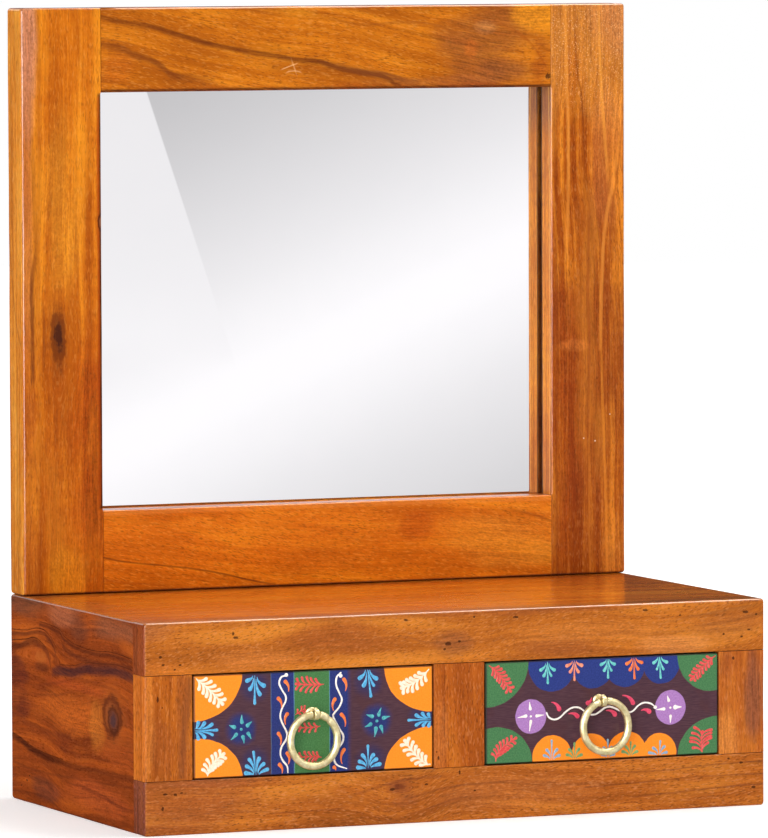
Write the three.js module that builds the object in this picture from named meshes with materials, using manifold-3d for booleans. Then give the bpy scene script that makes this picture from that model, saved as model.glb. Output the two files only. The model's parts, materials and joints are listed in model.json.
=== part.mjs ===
// Wall mirror with two drawers: a wooden mirror frame standing on a drawer case.
// Units are millimetres, +Z is up, the drawers open towards -Y.
// The origin is the middle of the bounding box, at the height of its lowest face.

import * as THREE from "three";
import { mergeVertices } from "three/addons/utils/BufferGeometryUtils.js";
import { RoundedBoxGeometry } from "three/addons/geometries/RoundedBoxGeometry.js";
import Module from "manifold-3d";

const wasm = await Module();
wasm.setup();

// ---------------------------------------------------------------- driving dimensions

const WIDTH = 500; // whole object
const HEIGHT = 600;
const CASE_DEPTH = 280;
const CASE_HEIGHT = 156;
const GAP = 0.3; // between faces that touch
const EASE = 2.5; // radius of the eased outer edges

// mirror frame
const FRAME_T = 30; // thickness
const OPEN_X0 = 64.6; // frame opening, from the left side and from the floor
const OPEN_X1 = 437.0;
const OPEN_Z0 = 219.2;
const OPEN_Z1 = 535.9;
const LIP = 18.4; // depth of the lip in front of the first rebate
const REBATE_1 = 8; // width of the rebate that holds the mirror
const REBATE_2 = 22; // width of the rebate that holds the backing board
const REBATE_2_DEPTH = 3.4;
const GLASS_T = 4;
const PACKING_T = 3.2;
const BOARD_T = 2.8;
const TENON_L = 22;
const TENON_T = 9;

// drawer case
const SIDE_T = 18;
const TOP_T = 18;
const FACE_T = 22; // face frame
const BACK_T = 10;
const BOTTOM_T = 12;
const RAIL_LOW = 39.9; // top edge of the lower face rail
const RAIL_HIGH = 117.4; // bottom edge of the upper face rail
const POST_L = 37.8; // right edge of the left post
const POST_C0 = 229.4; // centre post
const POST_C1 = 270.3;
const POST_R = 462.2; // left edge of the right post
const DIVIDER_T = 16;

// drawers
const FRONT_T = 20;
const FRONT_Z0 = 40.7;
const FRONT_Z1 = 116.5;
const DRAWERS = [
  { side: "left", x0: 38.6, x1: 228.6, eyeX: 131.4, eyeZ: 85.0, lean: -4.6, mark: 1 },
  { side: "right", x0: 271.1, x1: 461.4, eyeX: 362.8, eyeZ: 84.9, lean: 6.9, mark: 2 },
];
const BOX_INSET = 1.4; // drawer side behind the end of its front
const DRAWER_SIDE_T = 10;
const DRAWER_TOP = 110;
const DRAWER_BACK_Y = -24.6; // outer face of the drawer back, from the back of the case
const DRAWER_BOTTOM_Z = 45;
const DRAWER_BOTTOM_T = 5;

// ring pulls
const RING_R = 19.25; // centre line of the ring
const RING_TUBE = 2.5;
const RING_NECK = 1.75; // reduced part that hangs in the eye
const RING_TWIST = 3.5; // degrees about the vertical, as the ring hangs
const EYE_STAND = 8.5; // eye centre in front of the drawer front
const EYE_OUTER = 4.3;
const EYE_INNER = 2.4;
const EYE_WIDTH = 3.6;

// The model is laid out with X from the left side, Y from the back plane and Z from the floor,
// then shifted so that the bounding box is centred.
const TOTAL_DEPTH = CASE_DEPTH + EYE_STAND + EYE_OUTER;
const SHIFT = new THREE.Vector3(-WIDTH / 2, TOTAL_DEPTH / 2, 0);

// ---------------------------------------------------------------- helpers

function solid(geometry) {
  const bare = (geometry.index ? geometry.toNonIndexed() : geometry.clone());
  bare.deleteAttribute("normal");
  bare.deleteAttribute("uv");
  const g = mergeVertices(bare, 1e-4);
  return new wasm.Manifold(
    new wasm.Mesh({
      numProp: 3,
      vertProperties: new Float32Array(g.attributes.position.array),
      triVerts: new Uint32Array(g.index.array),
    }),
  );
}

function geometryOf(manifold) {
  const mesh = manifold.getMesh();
  const g = new THREE.BufferGeometry();
  const step = mesh.numProp;
  const n = mesh.vertProperties.length / step;
  const pos = new Float32Array(n * 3);
  for (let i = 0; i < n; i++)
    for (let k = 0; k < 3; k++) pos[3 * i + k] = mesh.vertProperties[step * i + k];
  g.setAttribute("position", new THREE.BufferAttribute(pos, 3));
  g.setIndex(new THREE.BufferAttribute(new Uint32Array(mesh.triVerts), 1));
  const flat = g.toNonIndexed();
  flat.computeVertexNormals();
  return flat;
}

// A box between two corners.
function box(x0, x1, y0, y1, z0, z1) {
  const g = new THREE.BoxGeometry(x1 - x0, y1 - y0, z1 - z0);
  g.translate((x0 + x1) / 2, (y0 + y1) / 2, (z0 + z1) / 2);
  return solid(g);
}

// A box with eased edges.
function easedBox(x0, x1, y0, y1, z0, z1, r = EASE, segments = 2) {
  const g = new RoundedBoxGeometry(x1 - x0, y1 - y0, z1 - z0, segments, r);
  g.translate((x0 + x1) / 2, (y0 + y1) / 2, (z0 + z1) / 2);
  return solid(g);
}

// A cylinder or cone whose axis runs along "x", "y" or "z" from a to b.
function rod(axis, c1, c2, a, b, rA, rB = rA, sides = 24) {
  const g = new THREE.CylinderGeometry(rB, rA, b - a, sides);
  if (axis === "x") {
    g.rotateZ(-Math.PI / 2);
    g.translate((a + b) / 2, c1, c2);
  } else if (axis === "y") {
    g.translate(c1, 0, 0);
    g.translate(0, (a + b) / 2, c2);
  } else {
    g.rotateX(Math.PI / 2);
    g.translate(c1, c2, (a + b) / 2);
  }
  return solid(g);
}

// A profile [radius, height] turned about an axis through p; dir is +1 or -1 along the axis.
function turned(profile, axis, dir, p, sides = 24) {
  const g = new THREE.LatheGeometry(
    profile.map(([r, h]) => new THREE.Vector2(r, h)),
    sides,
  );
  if (axis === "y") {
    if (dir < 0) g.rotateX(Math.PI);
  } else if (axis === "z") {
    g.rotateX(dir > 0 ? Math.PI / 2 : -Math.PI / 2);
  } else {
    g.rotateZ(dir > 0 ? -Math.PI / 2 : Math.PI / 2);
  }
  g.translate(...p);
  return solid(g);
}

// An outline in the XZ plane, extruded along Y from y0 to y1.
function prismY(points, y0, y1) {
  const shape = new THREE.Shape(points.map(([x, z]) => new THREE.Vector2(x, z)));
  const g = new THREE.ExtrudeGeometry(shape, { depth: y1 - y0, bevelEnabled: false });
  g.rotateX(Math.PI / 2); // extrudes towards -Y, shape y becomes z
  g.translate(0, y1, 0);
  return solid(g);
}

const cut = (body, ...tools) => tools.reduce((s, t) => s.subtract(t), body);
const join = (body, ...more) => more.reduce((s, t) => s.add(t), body);

const finishes = {
  frameWood: { color: 0xc4701f, roughness: 0.32, metalness: 0 },
  caseWood: { color: 0xae5a28, roughness: 0.32, metalness: 0 },
  innerWood: { color: 0xa9743f, roughness: 0.6, metalness: 0 },
  ply: { color: 0xc39a63, roughness: 0.7, metalness: 0 },
  paint: { color: 0x4a2c36, roughness: 0.4, metalness: 0 },
  mirror: { color: 0xe8ecee, roughness: 0.04, metalness: 1 },
  brass: { color: 0xc9b57c, roughness: 0.35, metalness: 1 },
  steel: { color: 0x9a9c9e, roughness: 0.4, metalness: 1 },
  packing: { color: 0x1b1a19, roughness: 0.8, metalness: 0 },
};

const part = new THREE.Group();

// Adds one named mesh whose own origin is the middle of its box.
function add(group, name, manifold, finish) {
  const g = geometryOf(manifold);
  g.computeBoundingBox();
  const middle = g.boundingBox.getCenter(new THREE.Vector3());
  g.translate(-middle.x, -middle.y, -middle.z);
  const mesh = new THREE.Mesh(g, new THREE.MeshStandardMaterial(finishes[finish]));
  mesh.name = name;
  mesh.position.copy(middle);
  group.add(mesh);
  return mesh;
}

const assembly = new THREE.Group();
assembly.position.copy(SHIFT);
part.add(assembly);
const mirrorFrame = new THREE.Group();
const drawerCase = new THREE.Group();
assembly.add(mirrorFrame, drawerCase);

// ---------------------------------------------------------------- mirror frame

const F0 = -FRAME_T; // front face
const FZ0 = CASE_HEIGHT + GAP; // bottom of the frame
const frameBlank = easedBox(0, WIDTH, F0, 0, FZ0, HEIGHT);

// Opening with eased front edges, and the two rebates from behind.
function openingTool(grow, y0, y1) {
  return box(OPEN_X0 - grow, OPEN_X1 + grow, y0, y1, OPEN_Z0 - grow, OPEN_Z1 + grow);
}
function flare(e, depth) {
  // a square funnel: wider by e at the front face, closing at depth
  const w = (OPEN_X1 - OPEN_X0) / 2,
    h = (OPEN_Z1 - OPEN_Z0) / 2;
  const g = new THREE.CylinderGeometry(1, 1, 1, 4, 1);
  g.rotateY(Math.PI / 4); // square section
  const pos = g.attributes.position;
  for (let i = 0; i < pos.count; i++) {
    const front = pos.getY(i) < 0;
    const sx = Math.sign(Math.round(pos.getX(i) * 100)),
      sz = Math.sign(Math.round(pos.getZ(i) * 100));
    const more = front ? e * (1 + 0.5 / depth) : 0;
    pos.setXYZ(
      i,
      (OPEN_X0 + OPEN_X1) / 2 + sx * (w + more),
      front ? F0 - 0.5 : F0 + depth,
      (OPEN_Z0 + OPEN_Z1) / 2 + sz * (h + more),
    );
  }
  return solid(g);
}
const opening = [
  openingTool(0, F0 - 1, 1),
  flare(1.6, 1.6),
  openingTool(REBATE_1, F0 + LIP, 1),
  openingTool(REBATE_2, -REBATE_2_DEPTH, 1),
];
const frameRing = cut(frameBlank, ...opening);

const tenonY = [F0 + 6, F0 + 6 + TENON_T];
const tenonZ = {
  top: [OPEN_Z1 + 14, HEIGHT - 12],
  bottom: [FZ0 + 12, OPEN_Z0 - 14],
};

function mortises(side) {
  const at = side === "left" ? OPEN_X0 : OPEN_X1;
  const dir = side === "left" ? -1 : 1;
  return Object.values(tenonZ).map(([z0, z1]) => {
    const a = at + dir * (TENON_L + 2),
      b = at - dir * 5;
    return box(
      Math.min(a, b),
      Math.max(a, b),
      tenonY[0] - GAP,
      tenonY[1] + GAP,
      z0 - GAP,
      z1 + GAP,
    );
  });
}

// Keyhole plates let into the backs of the stiles.
const PLATE = { w: 18, h: 52, t: 1.6, z: 556, pocketW: 13, pocketZ0: 540, pocketZ1: 572, pocketD: 9 };
const plateX = { left: 32.3, right: 468.5 };
const plateScrewZ = [PLATE.z - 21, PLATE.z + 21];

function plateTools(x) {
  return [
    box(x - PLATE.w / 2 - GAP, x + PLATE.w / 2 + GAP, -PLATE.t - GAP, 1, PLATE.z - PLATE.h / 2 - GAP, PLATE.z + PLATE.h / 2 + GAP),
    box(x - PLATE.pocketW / 2, x + PLATE.pocketW / 2, -PLATE.t - PLATE.pocketD, 1, PLATE.pocketZ0, PLATE.pocketZ1),
    ...plateScrewZ.map((z) => rod("y", x, z, -16.4, 1, 1.9, 1.9, 16)),
  ];
}

// Screws of the backing board.
const boardScrews = [
  [OPEN_X0 - 15, 300],
  [OPEN_X0 - 15, 455],
  [OPEN_X1 + 15, 300],
  [OPEN_X1 + 15, 455],
];
const boardScrewHole = (x, z) => rod("y", x, z, -16.4, 1, 1.7, 1.7, 16);

const stileL = cut(
  frameRing.intersect(box(-1, OPEN_X0 - GAP / 2, F0 - 1, 1, 0, HEIGHT + 1)),
  ...mortises("left"),
  ...plateTools(plateX.left),
  ...boardScrews.slice(0, 2).map((p) => boardScrewHole(...p)),
);
const stileR = cut(
  frameRing.intersect(box(OPEN_X1 + GAP / 2, WIDTH + 1, F0 - 1, 1, 0, HEIGHT + 1)),
  ...mortises("right"),
  ...plateTools(plateX.right),
  ...boardScrews.slice(2).map((p) => boardScrewHole(...p)),
);
add(mirrorFrame, "frame_stile_left", stileL, "frameWood");
add(mirrorFrame, "frame_stile_right", stileR, "frameWood");

// Screws that hold the frame on the case come up through the case top.
const frameScrewX = [112, 388];
const FRAME_SCREW_Y = -FRAME_T / 2;

const railSpan = box(OPEN_X0 + GAP / 2, OPEN_X1 - GAP / 2, F0 - 1, 1, 0, HEIGHT + 1);
function tenons([z0, z1]) {
  return [
    box(OPEN_X0 - TENON_L, OPEN_X0 + 6, tenonY[0], tenonY[1], z0, z1),
    box(OPEN_X1 - 6, OPEN_X1 + TENON_L, tenonY[0], tenonY[1], z0, z1),
  ];
}
const railTop = join(
  frameRing.intersect(railSpan).intersect(box(0, WIDTH, F0 - 1, 1, OPEN_Z1 - 20, HEIGHT + 1)),
  ...tenons(tenonZ.top),
);
const railBottom = cut(
  join(
    frameRing.intersect(railSpan).intersect(box(0, WIDTH, F0 - 1, 1, 0, OPEN_Z0 + 20)),
    ...tenons(tenonZ.bottom),
  ),
  ...frameScrewX.map((x) => rod("z", x, FRAME_SCREW_Y, 100, FZ0 + 42, 2.5)),
);
add(mirrorFrame, "frame_rail_top", railTop, "frameWood");
add(mirrorFrame, "frame_rail_bottom", railBottom, "frameWood");

// Packing, glass and backing board, from front to back.
const packY = [F0 + LIP + GAP, F0 + LIP + GAP + PACKING_T];
const glassY = [packY[1] + GAP, packY[1] + GAP + GLASS_T];
const boardY = [-REBATE_2_DEPTH + GAP, -REBATE_2_DEPTH + GAP + BOARD_T];
const PACK_IN = 3.5; // inner edge of the packing, behind the sight edge
add(
  mirrorFrame,
  "mirror_packing",
  cut(openingTool(REBATE_1 - 1, ...packY), openingTool(PACK_IN, packY[0] - 1, packY[1] + 1)),
  "packing",
);
add(mirrorFrame, "mirror_glass", openingTool(REBATE_1 - 1, ...glassY), "mirror");
add(
  mirrorFrame,
  "mirror_backing_board",
  cut(
    openingTool(REBATE_2 - 0.8, ...boardY),
    ...boardScrews.flatMap(([x, z]) => [
      rod("y", x, z, -10, 5, 1.7, 1.7, 16),
      rod("y", x, z, boardY[1] - 2.2, boardY[1] + 0.3, 1.7, 3.75, 24),
    ]),
  ),
  "ply",
);

// Countersunk wood screw with its head's top face at height 0, pointing along -axis.
function woodScrew(length, headR, shankR, head = 2, slot = 0.7) {
  const profile = [
    [0, -length],
    [shankR * 0.35, -length + 0.6],
    [shankR, -length + shankR * 2.2],
    [shankR, -head],
    [headR, -0.25],
    [headR, 0],
    [0, 0],
  ];
  return { profile, slot };
}
function screwAt(axis, dir, p, length, headR, shankR, head = 2) {
  const { profile, slot } = woodScrew(length, headR, shankR, head);
  const body = turned(profile, axis, dir, p);
  const d = 0.9;
  const a = dir * d; // cross recess in the head
  const [x, y, z] = p;
  if (axis === "y") {
    const y0 = Math.min(y - a, y + dir),
      y1 = Math.max(y - a, y + dir);
    return cut(
      body,
      box(x - headR * 0.62, x + headR * 0.62, y0, y1, z - slot / 2, z + slot / 2),
      box(x - slot / 2, x + slot / 2, y0, y1, z - headR * 0.62, z + headR * 0.62),
    );
  }
  const z0 = Math.min(z - a, z + dir),
    z1 = Math.max(z - a, z + dir);
  return cut(
    body,
    box(x - headR * 0.62, x + headR * 0.62, y - slot / 2, y + slot / 2, z0, z1),
    box(x - slot / 2, x + slot / 2, y - headR * 0.62, y + headR * 0.62, z0, z1),
  );
}

boardScrews.forEach(([x, z], i) =>
  add(mirrorFrame, `backing_screw_${i + 1}`, screwAt("y", 1, [x, boardY[1] - 0.1, z], 15, 3.2, 1.4, 1.7), "steel"),
);

for (const side of ["left", "right"]) {
  const x = plateX[side];
  const plate = cut(
    box(x - PLATE.w / 2, x + PLATE.w / 2, -PLATE.t, 0, PLATE.z - PLATE.h / 2, PLATE.z + PLATE.h / 2),
    rod("y", x, PLATE.z - 7, -5, 5, 5.2, 5.2, 28), // entry of the keyhole
    box(x - 2.4, x + 2.4, -5, 5, PLATE.z - 7, PLATE.z + 9),
    rod("y", x, PLATE.z + 9, -5, 5, 2.4, 2.4, 20),
    ...plateScrewZ.flatMap((z) => [rod("y", x, z, -5, 5, 1.9, 1.9, 16), rod("y", x, z, -1.65, 0.3, 1.95, 4.5, 24)]),
  );
  add(mirrorFrame, `hanging_plate_${side}`, plate, "steel");
  plateScrewZ.forEach((z, i) =>
    add(mirrorFrame, `hanging_plate_screw_${side}_${i + 1}`, screwAt("y", 1, [x, -0.15, z], 15.5, 3.3, 1.6, 1.5), "steel"),
  );
}

// ---------------------------------------------------------------- drawer case

const C0 = -CASE_DEPTH; // front face of the case
const FB = C0 + FACE_T; // back face of the face frame
const PB = FB + GAP; // front ends of the panels behind it
const caseBlank = easedBox(0, WIDTH, C0, 0, 0, CASE_HEIGHT);

// The sides and the top are mitred to each other, so that no joint shows on a face.
const m = GAP / Math.SQRT2;
const sideLeft = prismY(
  [
    [0, 0],
    [SIDE_T, 0],
    [SIDE_T, CASE_HEIGHT - TOP_T - m],
    [0, CASE_HEIGHT - m],
  ],
  PB,
  0,
);
const sideRight = prismY(
  [
    [WIDTH - SIDE_T, 0],
    [WIDTH, 0],
    [WIDTH, CASE_HEIGHT - m],
    [WIDTH - SIDE_T, CASE_HEIGHT - TOP_T - m],
  ],
  PB,
  0,
);
const topBoard = prismY(
  [
    [SIDE_T + m, CASE_HEIGHT - TOP_T],
    [WIDTH - SIDE_T - m, CASE_HEIGHT - TOP_T],
    [WIDTH - m, CASE_HEIGHT],
    [m, CASE_HEIGHT],
  ],
  PB,
  0,
);
add(drawerCase, "case_side_left", sideLeft.intersect(caseBlank), "caseWood");
add(drawerCase, "case_side_right", sideRight.intersect(caseBlank), "caseWood");
add(
  drawerCase,
  "case_top",
  cut(
    topBoard.intersect(caseBlank),
    ...frameScrewX.flatMap((x) => [
      rod("z", x, FRAME_SCREW_Y, 100, 200, 2.9),
      rod("z", x, FRAME_SCREW_Y, CASE_HEIGHT - TOP_T - 0.3, CASE_HEIGHT - TOP_T + 4.0, 5.2, 2.6),
    ]),
  ),
  "caseWood",
);
frameScrewX.forEach((x, i) =>
  add(
    drawerCase,
    `frame_screw_${i === 0 ? "left" : "right"}`,
    screwAt("z", -1, [x, FRAME_SCREW_Y, CASE_HEIGHT - TOP_T + 0.2], 58, 4.5, 2.2, 3.0),
    "steel",
  ),
);

// Face frame: rails run the full width, posts stand between them.
const faceRegion = (x0, x1, z0, z1) => caseBlank.intersect(box(x0, x1, C0 - 1, FB, z0, z1));
add(drawerCase, "face_rail_top", faceRegion(-1, WIDTH + 1, RAIL_HIGH, CASE_HEIGHT + 1), "caseWood");
add(drawerCase, "face_rail_bottom", faceRegion(-1, WIDTH + 1, -1, RAIL_LOW), "caseWood");
add(drawerCase, "face_post_left", faceRegion(-1, POST_L, RAIL_LOW + GAP, RAIL_HIGH - GAP), "caseWood");
add(drawerCase, "face_post_centre", faceRegion(POST_C0, POST_C1, RAIL_LOW + GAP, RAIL_HIGH - GAP), "caseWood");
add(drawerCase, "face_post_right", faceRegion(POST_R, WIDTH + 1, RAIL_LOW + GAP, RAIL_HIGH - GAP), "caseWood");

const IN0 = SIDE_T + GAP;
const IN1 = WIDTH - SIDE_T - GAP;
const BK = -BACK_T - GAP; // back ends of the inner boards
const UNDER_TOP = CASE_HEIGHT - TOP_T - GAP;
const FLOOR = RAIL_LOW - GAP; // top face of the case bottom

const dividerX = (POST_C0 + POST_C1) / 2;
const backScrews = [
  [SIDE_T + 60, FLOOR - BOTTOM_T / 2],
  [WIDTH - SIDE_T - 60, FLOOR - BOTTOM_T / 2],
  [dividerX, 70],
  [dividerX, 115],
];
const backHole = (x, z) => rod("y", x, z, -27, 1, 1.8, 1.8, 16);
add(
  drawerCase,
  "case_back",
  cut(
    box(IN0, IN1, -BACK_T, 0, 0.5, UNDER_TOP),
    ...backScrews.flatMap(([x, z]) => [backHole(x, z), rod("y", x, z, -2.7, 0.3, 2.0, 5.0, 24)]),
  ),
  "innerWood",
);
add(
  drawerCase,
  "centre_divider",
  cut(
    box(dividerX - DIVIDER_T / 2, dividerX + DIVIDER_T / 2, PB, BK, FLOOR + GAP, UNDER_TOP),
    ...backScrews.slice(2).map((p) => backHole(...p)),
  ),
  "innerWood",
);
// the two lower screws run into the case bottom
add(
  drawerCase,
  "case_bottom",
  cut(
    box(IN0, IN1, PB, BK, FLOOR - BOTTOM_T, FLOOR),
    ...backScrews.slice(0, 2).map((p) => backHole(...p)),
  ),
  "innerWood",
);
backScrews.forEach(([x, z], i) =>
  add(drawerCase, `case_back_screw_${i + 1}`, screwAt("y", 1, [x, -0.3, z], 26, 3.8, 1.5, 2.2), "steel"),
);

// Guides beside each drawer, a kicker above it and a stop behind it.
const GUIDE_CLEAR = 1.0;
const GUIDE_H = 30;
for (const d of DRAWERS) {
  const b0 = d.x0 + BOX_INSET,
    b1 = d.x1 - BOX_INSET;
  const left = d.side === "left" ? [IN0, b0 - GUIDE_CLEAR] : [dividerX + DIVIDER_T / 2 + GAP, b0 - GUIDE_CLEAR];
  const right = d.side === "left" ? [b1 + GUIDE_CLEAR, dividerX - DIVIDER_T / 2 - GAP] : [b1 + GUIDE_CLEAR, IN1];
  const outer = d.side === "left" ? left : right;
  const inner = d.side === "left" ? right : left;
  add(drawerCase, `drawer_guide_${d.side}_outer`, box(...outer, PB, BK, FLOOR + GAP, FLOOR + GUIDE_H), "innerWood");
  add(drawerCase, `drawer_guide_${d.side}_inner`, box(...inner, PB, BK, FLOOR + GAP, FLOOR + GUIDE_H), "innerWood");
  const mid = (d.x0 + d.x1) / 2;
  add(drawerCase, `drawer_kicker_${d.side}`, box(mid - 12, mid + 12, PB, BK, RAIL_HIGH + 0.6, UNDER_TOP), "innerWood");
  add(drawerCase, `drawer_stop_${d.side}`, box(mid - 20, mid + 20, DRAWER_BACK_Y + 0.5, BK, FLOOR + GAP, FLOOR + 26), "innerWood");
}

// ---------------------------------------------------------------- drawers

// A ring swept with a radius that varies round it; angle 0 is the top, positive towards +X.
function ringSolid(radiusAt, around = 80, section = 12) {
  const g = new THREE.TorusGeometry(RING_R, 1, section, around);
  const pos = g.attributes.position;
  for (let i = 0; i < pos.count; i++) {
    const x = pos.getX(i),
      y = pos.getY(i),
      z = pos.getZ(i);
    const a = Math.atan2(x, y);
    const r = radiusAt(THREE.MathUtils.radToDeg(a));
    const cx = Math.sin(a) * RING_R,
      cy = Math.cos(a) * RING_R;
    pos.setXYZ(i, cx + (x - cx) * r, cy + (y - cy) * r, z * r);
  }
  return g;
}

const smooth = (a, b, x) => {
  const t = Math.min(1, Math.max(0, (x - a) / (b - a)));
  return t * t * (3 - 2 * t);
};
// Radius of the ring at an angle from the eye: reduced in the eye, with a bead beside it.
function ringProfile(eyeAngle, mark) {
  return (angle) => {
    let d = ((angle - eyeAngle + 540) % 360) - 180;
    let r = RING_TUBE;
    r = RING_NECK + (r - RING_NECK) * smooth(7, 9.5, Math.abs(d));
    if (mark === 1) {
      // a second neck and a collar further round
      const n = Math.abs(d - 33);
      r -= 0.45 * (1 - smooth(2.5, 5.5, n));
      r += 0.3 * (1 - smooth(1.5, 4.5, Math.abs(d - 43)));
    } else {
      r += 0.25 * (1 - smooth(1.0, 4.0, Math.abs(d + 13)));
    }
    return r;
  };
}

for (const d of DRAWERS) {
  const group = new THREE.Group();
  assembly.add(group);
  const s = d.side;
  const b0 = d.x0 + BOX_INSET,
    b1 = d.x1 - BOX_INSET;
  const frontBack = C0 + FRONT_T; // back face of the drawer front
  const zLow = FLOOR + GAP;
  const eyeY = C0 - EYE_STAND;
  const groove = [DRAWER_BOTTOM_Z - GAP, DRAWER_BOTTOM_Z + DRAWER_BOTTOM_T + GAP];

  add(
    group,
    `drawer_${s}_front`,
    cut(
      easedBox(d.x0, d.x1, C0, frontBack, FRONT_Z0, FRONT_Z1, 1.2),
      rod("y", d.eyeX, d.eyeZ, C0 - 1, frontBack + 1, 2.4),
      box(b0 + DRAWER_SIDE_T - 5, b1 - DRAWER_SIDE_T + 5, frontBack - 5, frontBack + 1, ...groove),
    ),
    "paint",
  );
  for (const [name, x0, x1, g0, g1] of [
    ["side_left", b0, b0 + DRAWER_SIDE_T, b0 + DRAWER_SIDE_T - 5, b0 + DRAWER_SIDE_T + 1],
    ["side_right", b1 - DRAWER_SIDE_T, b1, b1 - DRAWER_SIDE_T - 1, b1 - DRAWER_SIDE_T + 5],
  ])
    add(
      group,
      `drawer_${s}_${name}`,
      cut(
        easedBox(x0, x1, frontBack + GAP, DRAWER_BACK_Y, zLow, DRAWER_TOP, 0.8, 1),
        box(g0, g1, frontBack - 1, DRAWER_BACK_Y + 1, ...groove),
      ),
      "innerWood",
    );
  const in0 = b0 + DRAWER_SIDE_T + GAP,
    in1 = b1 - DRAWER_SIDE_T - GAP;
  add(
    group,
    `drawer_${s}_back`,
    cut(
      easedBox(in0, in1, DRAWER_BACK_Y - DRAWER_SIDE_T, DRAWER_BACK_Y, zLow, DRAWER_TOP - 2, 0.8, 1),
      box(in0 - 1, in1 + 1, DRAWER_BACK_Y - DRAWER_SIDE_T - 1, DRAWER_BACK_Y - DRAWER_SIDE_T + 5, ...groove),
    ),
    "innerWood",
  );
  add(
    group,
    `drawer_${s}_bottom`,
    box(
      b0 + DRAWER_SIDE_T - 5 + GAP,
      b1 - DRAWER_SIDE_T + 5 - GAP,
      frontBack - 5 + GAP,
      DRAWER_BACK_Y - DRAWER_SIDE_T + 5 - GAP,
      DRAWER_BOTTOM_Z,
      DRAWER_BOTTOM_Z + DRAWER_BOTTOM_T,
    ),
    "ply",
  );

  // Eye bolt: an eye across the shank, a collar on the painted face and a shank through the front.
  const eye = cut(
    join(
      turned(
        [
          [0, -EYE_WIDTH / 2],
          [EYE_OUTER - 0.7, -EYE_WIDTH / 2],
          [EYE_OUTER, -EYE_WIDTH / 2 + 0.7],
          [EYE_OUTER, EYE_WIDTH / 2 - 0.7],
          [EYE_OUTER - 0.7, EYE_WIDTH / 2],
          [0, EYE_WIDTH / 2],
        ],
        "x",
        1,
        [d.eyeX, eyeY, d.eyeZ],
        28,
      ),
      rod("y", d.eyeX, d.eyeZ, C0 - 5.2, C0 - 1.2, 1.7, 2.1),
      turned(
        [
          [0, 0],
          [4.6, 0],
          [4.9, 0.5],
          [4.2, 1.3],
          [0, 1.6],
        ],
        "y",
        -1,
        [d.eyeX, C0 - GAP, d.eyeZ],
        28,
      ),
      rod("y", d.eyeX, d.eyeZ, C0 - 1, frontBack + 6, 2.0),
    ),
    rod("x", eyeY, d.eyeZ, d.eyeX - 5, d.eyeX + 5, EYE_INNER, EYE_INNER, 32),
  );
  add(group, `ring_eye_${s}`, eye, "brass");
  add(
    group,
    `ring_eye_nut_${s}`,
    cut(
      rod("y", d.eyeX, d.eyeZ, frontBack + GAP, frontBack + GAP + 3.2, 4.04, 4.04, 6),
      rod("y", d.eyeX, d.eyeZ, frontBack, frontBack + 5, 2.3),
    ),
    "steel",
  );

  // The ring hangs in the eye; its centre is a little to one side of the eye.
  const lean = THREE.MathUtils.degToRad(d.lean); // of the line from the eye to the ring's centre
  const ringGeometry = ringSolid(ringProfile(-d.lean, d.mark));
  const ringHolder = new THREE.Group();
  ringHolder.position.set(d.eyeX, eyeY, d.eyeZ);
  ringHolder.rotation.z = THREE.MathUtils.degToRad(RING_TWIST);
  group.add(ringHolder);
  ringGeometry.rotateX(Math.PI / 2); // ring into the XZ plane
  ringGeometry.translate(Math.sin(lean) * RING_R, 0, -Math.cos(lean) * RING_R);
  add(ringHolder, `ring_pull_${s}`, solid(ringGeometry), "brass");
}

export default part;
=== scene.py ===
# Looks of the wall mirror with two drawers: boards, mirror, painted fronts, ring pulls, stage and camera.
# Lengths below are in millimetres, X from the left side, Y from the back plane (front is negative), Z from the floor.
import json
import math

import bpy
import bmesh
import numpy as np
from mathutils import Matrix, Vector, noise

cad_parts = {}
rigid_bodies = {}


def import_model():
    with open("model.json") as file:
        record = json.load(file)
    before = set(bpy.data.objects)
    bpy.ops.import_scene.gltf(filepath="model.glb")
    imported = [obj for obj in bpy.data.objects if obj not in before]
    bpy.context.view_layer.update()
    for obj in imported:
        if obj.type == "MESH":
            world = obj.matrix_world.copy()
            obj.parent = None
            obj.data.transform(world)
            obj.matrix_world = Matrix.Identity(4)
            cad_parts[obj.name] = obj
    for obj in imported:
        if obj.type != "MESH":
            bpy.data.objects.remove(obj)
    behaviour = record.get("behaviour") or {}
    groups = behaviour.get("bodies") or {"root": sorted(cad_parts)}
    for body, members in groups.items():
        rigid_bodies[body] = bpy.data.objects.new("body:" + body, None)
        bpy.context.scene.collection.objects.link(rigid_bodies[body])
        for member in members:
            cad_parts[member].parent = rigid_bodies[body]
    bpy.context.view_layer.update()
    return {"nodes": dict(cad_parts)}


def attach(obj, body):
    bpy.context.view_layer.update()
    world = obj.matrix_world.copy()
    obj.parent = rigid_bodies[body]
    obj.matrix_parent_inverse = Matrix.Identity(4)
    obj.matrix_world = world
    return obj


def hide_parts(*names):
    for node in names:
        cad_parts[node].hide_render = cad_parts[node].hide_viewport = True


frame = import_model()
scene = bpy.context.scene

CX, CY = 250.0, 146.4


def P(x, y, z):
    """Millimetres in the drawing's frame to metres in the row frame."""
    return ((x - CX) / 1000.0, (y + CY) / 1000.0, z / 1000.0)


# ------------------------------------------------------------------ camera, light, stage

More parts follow.
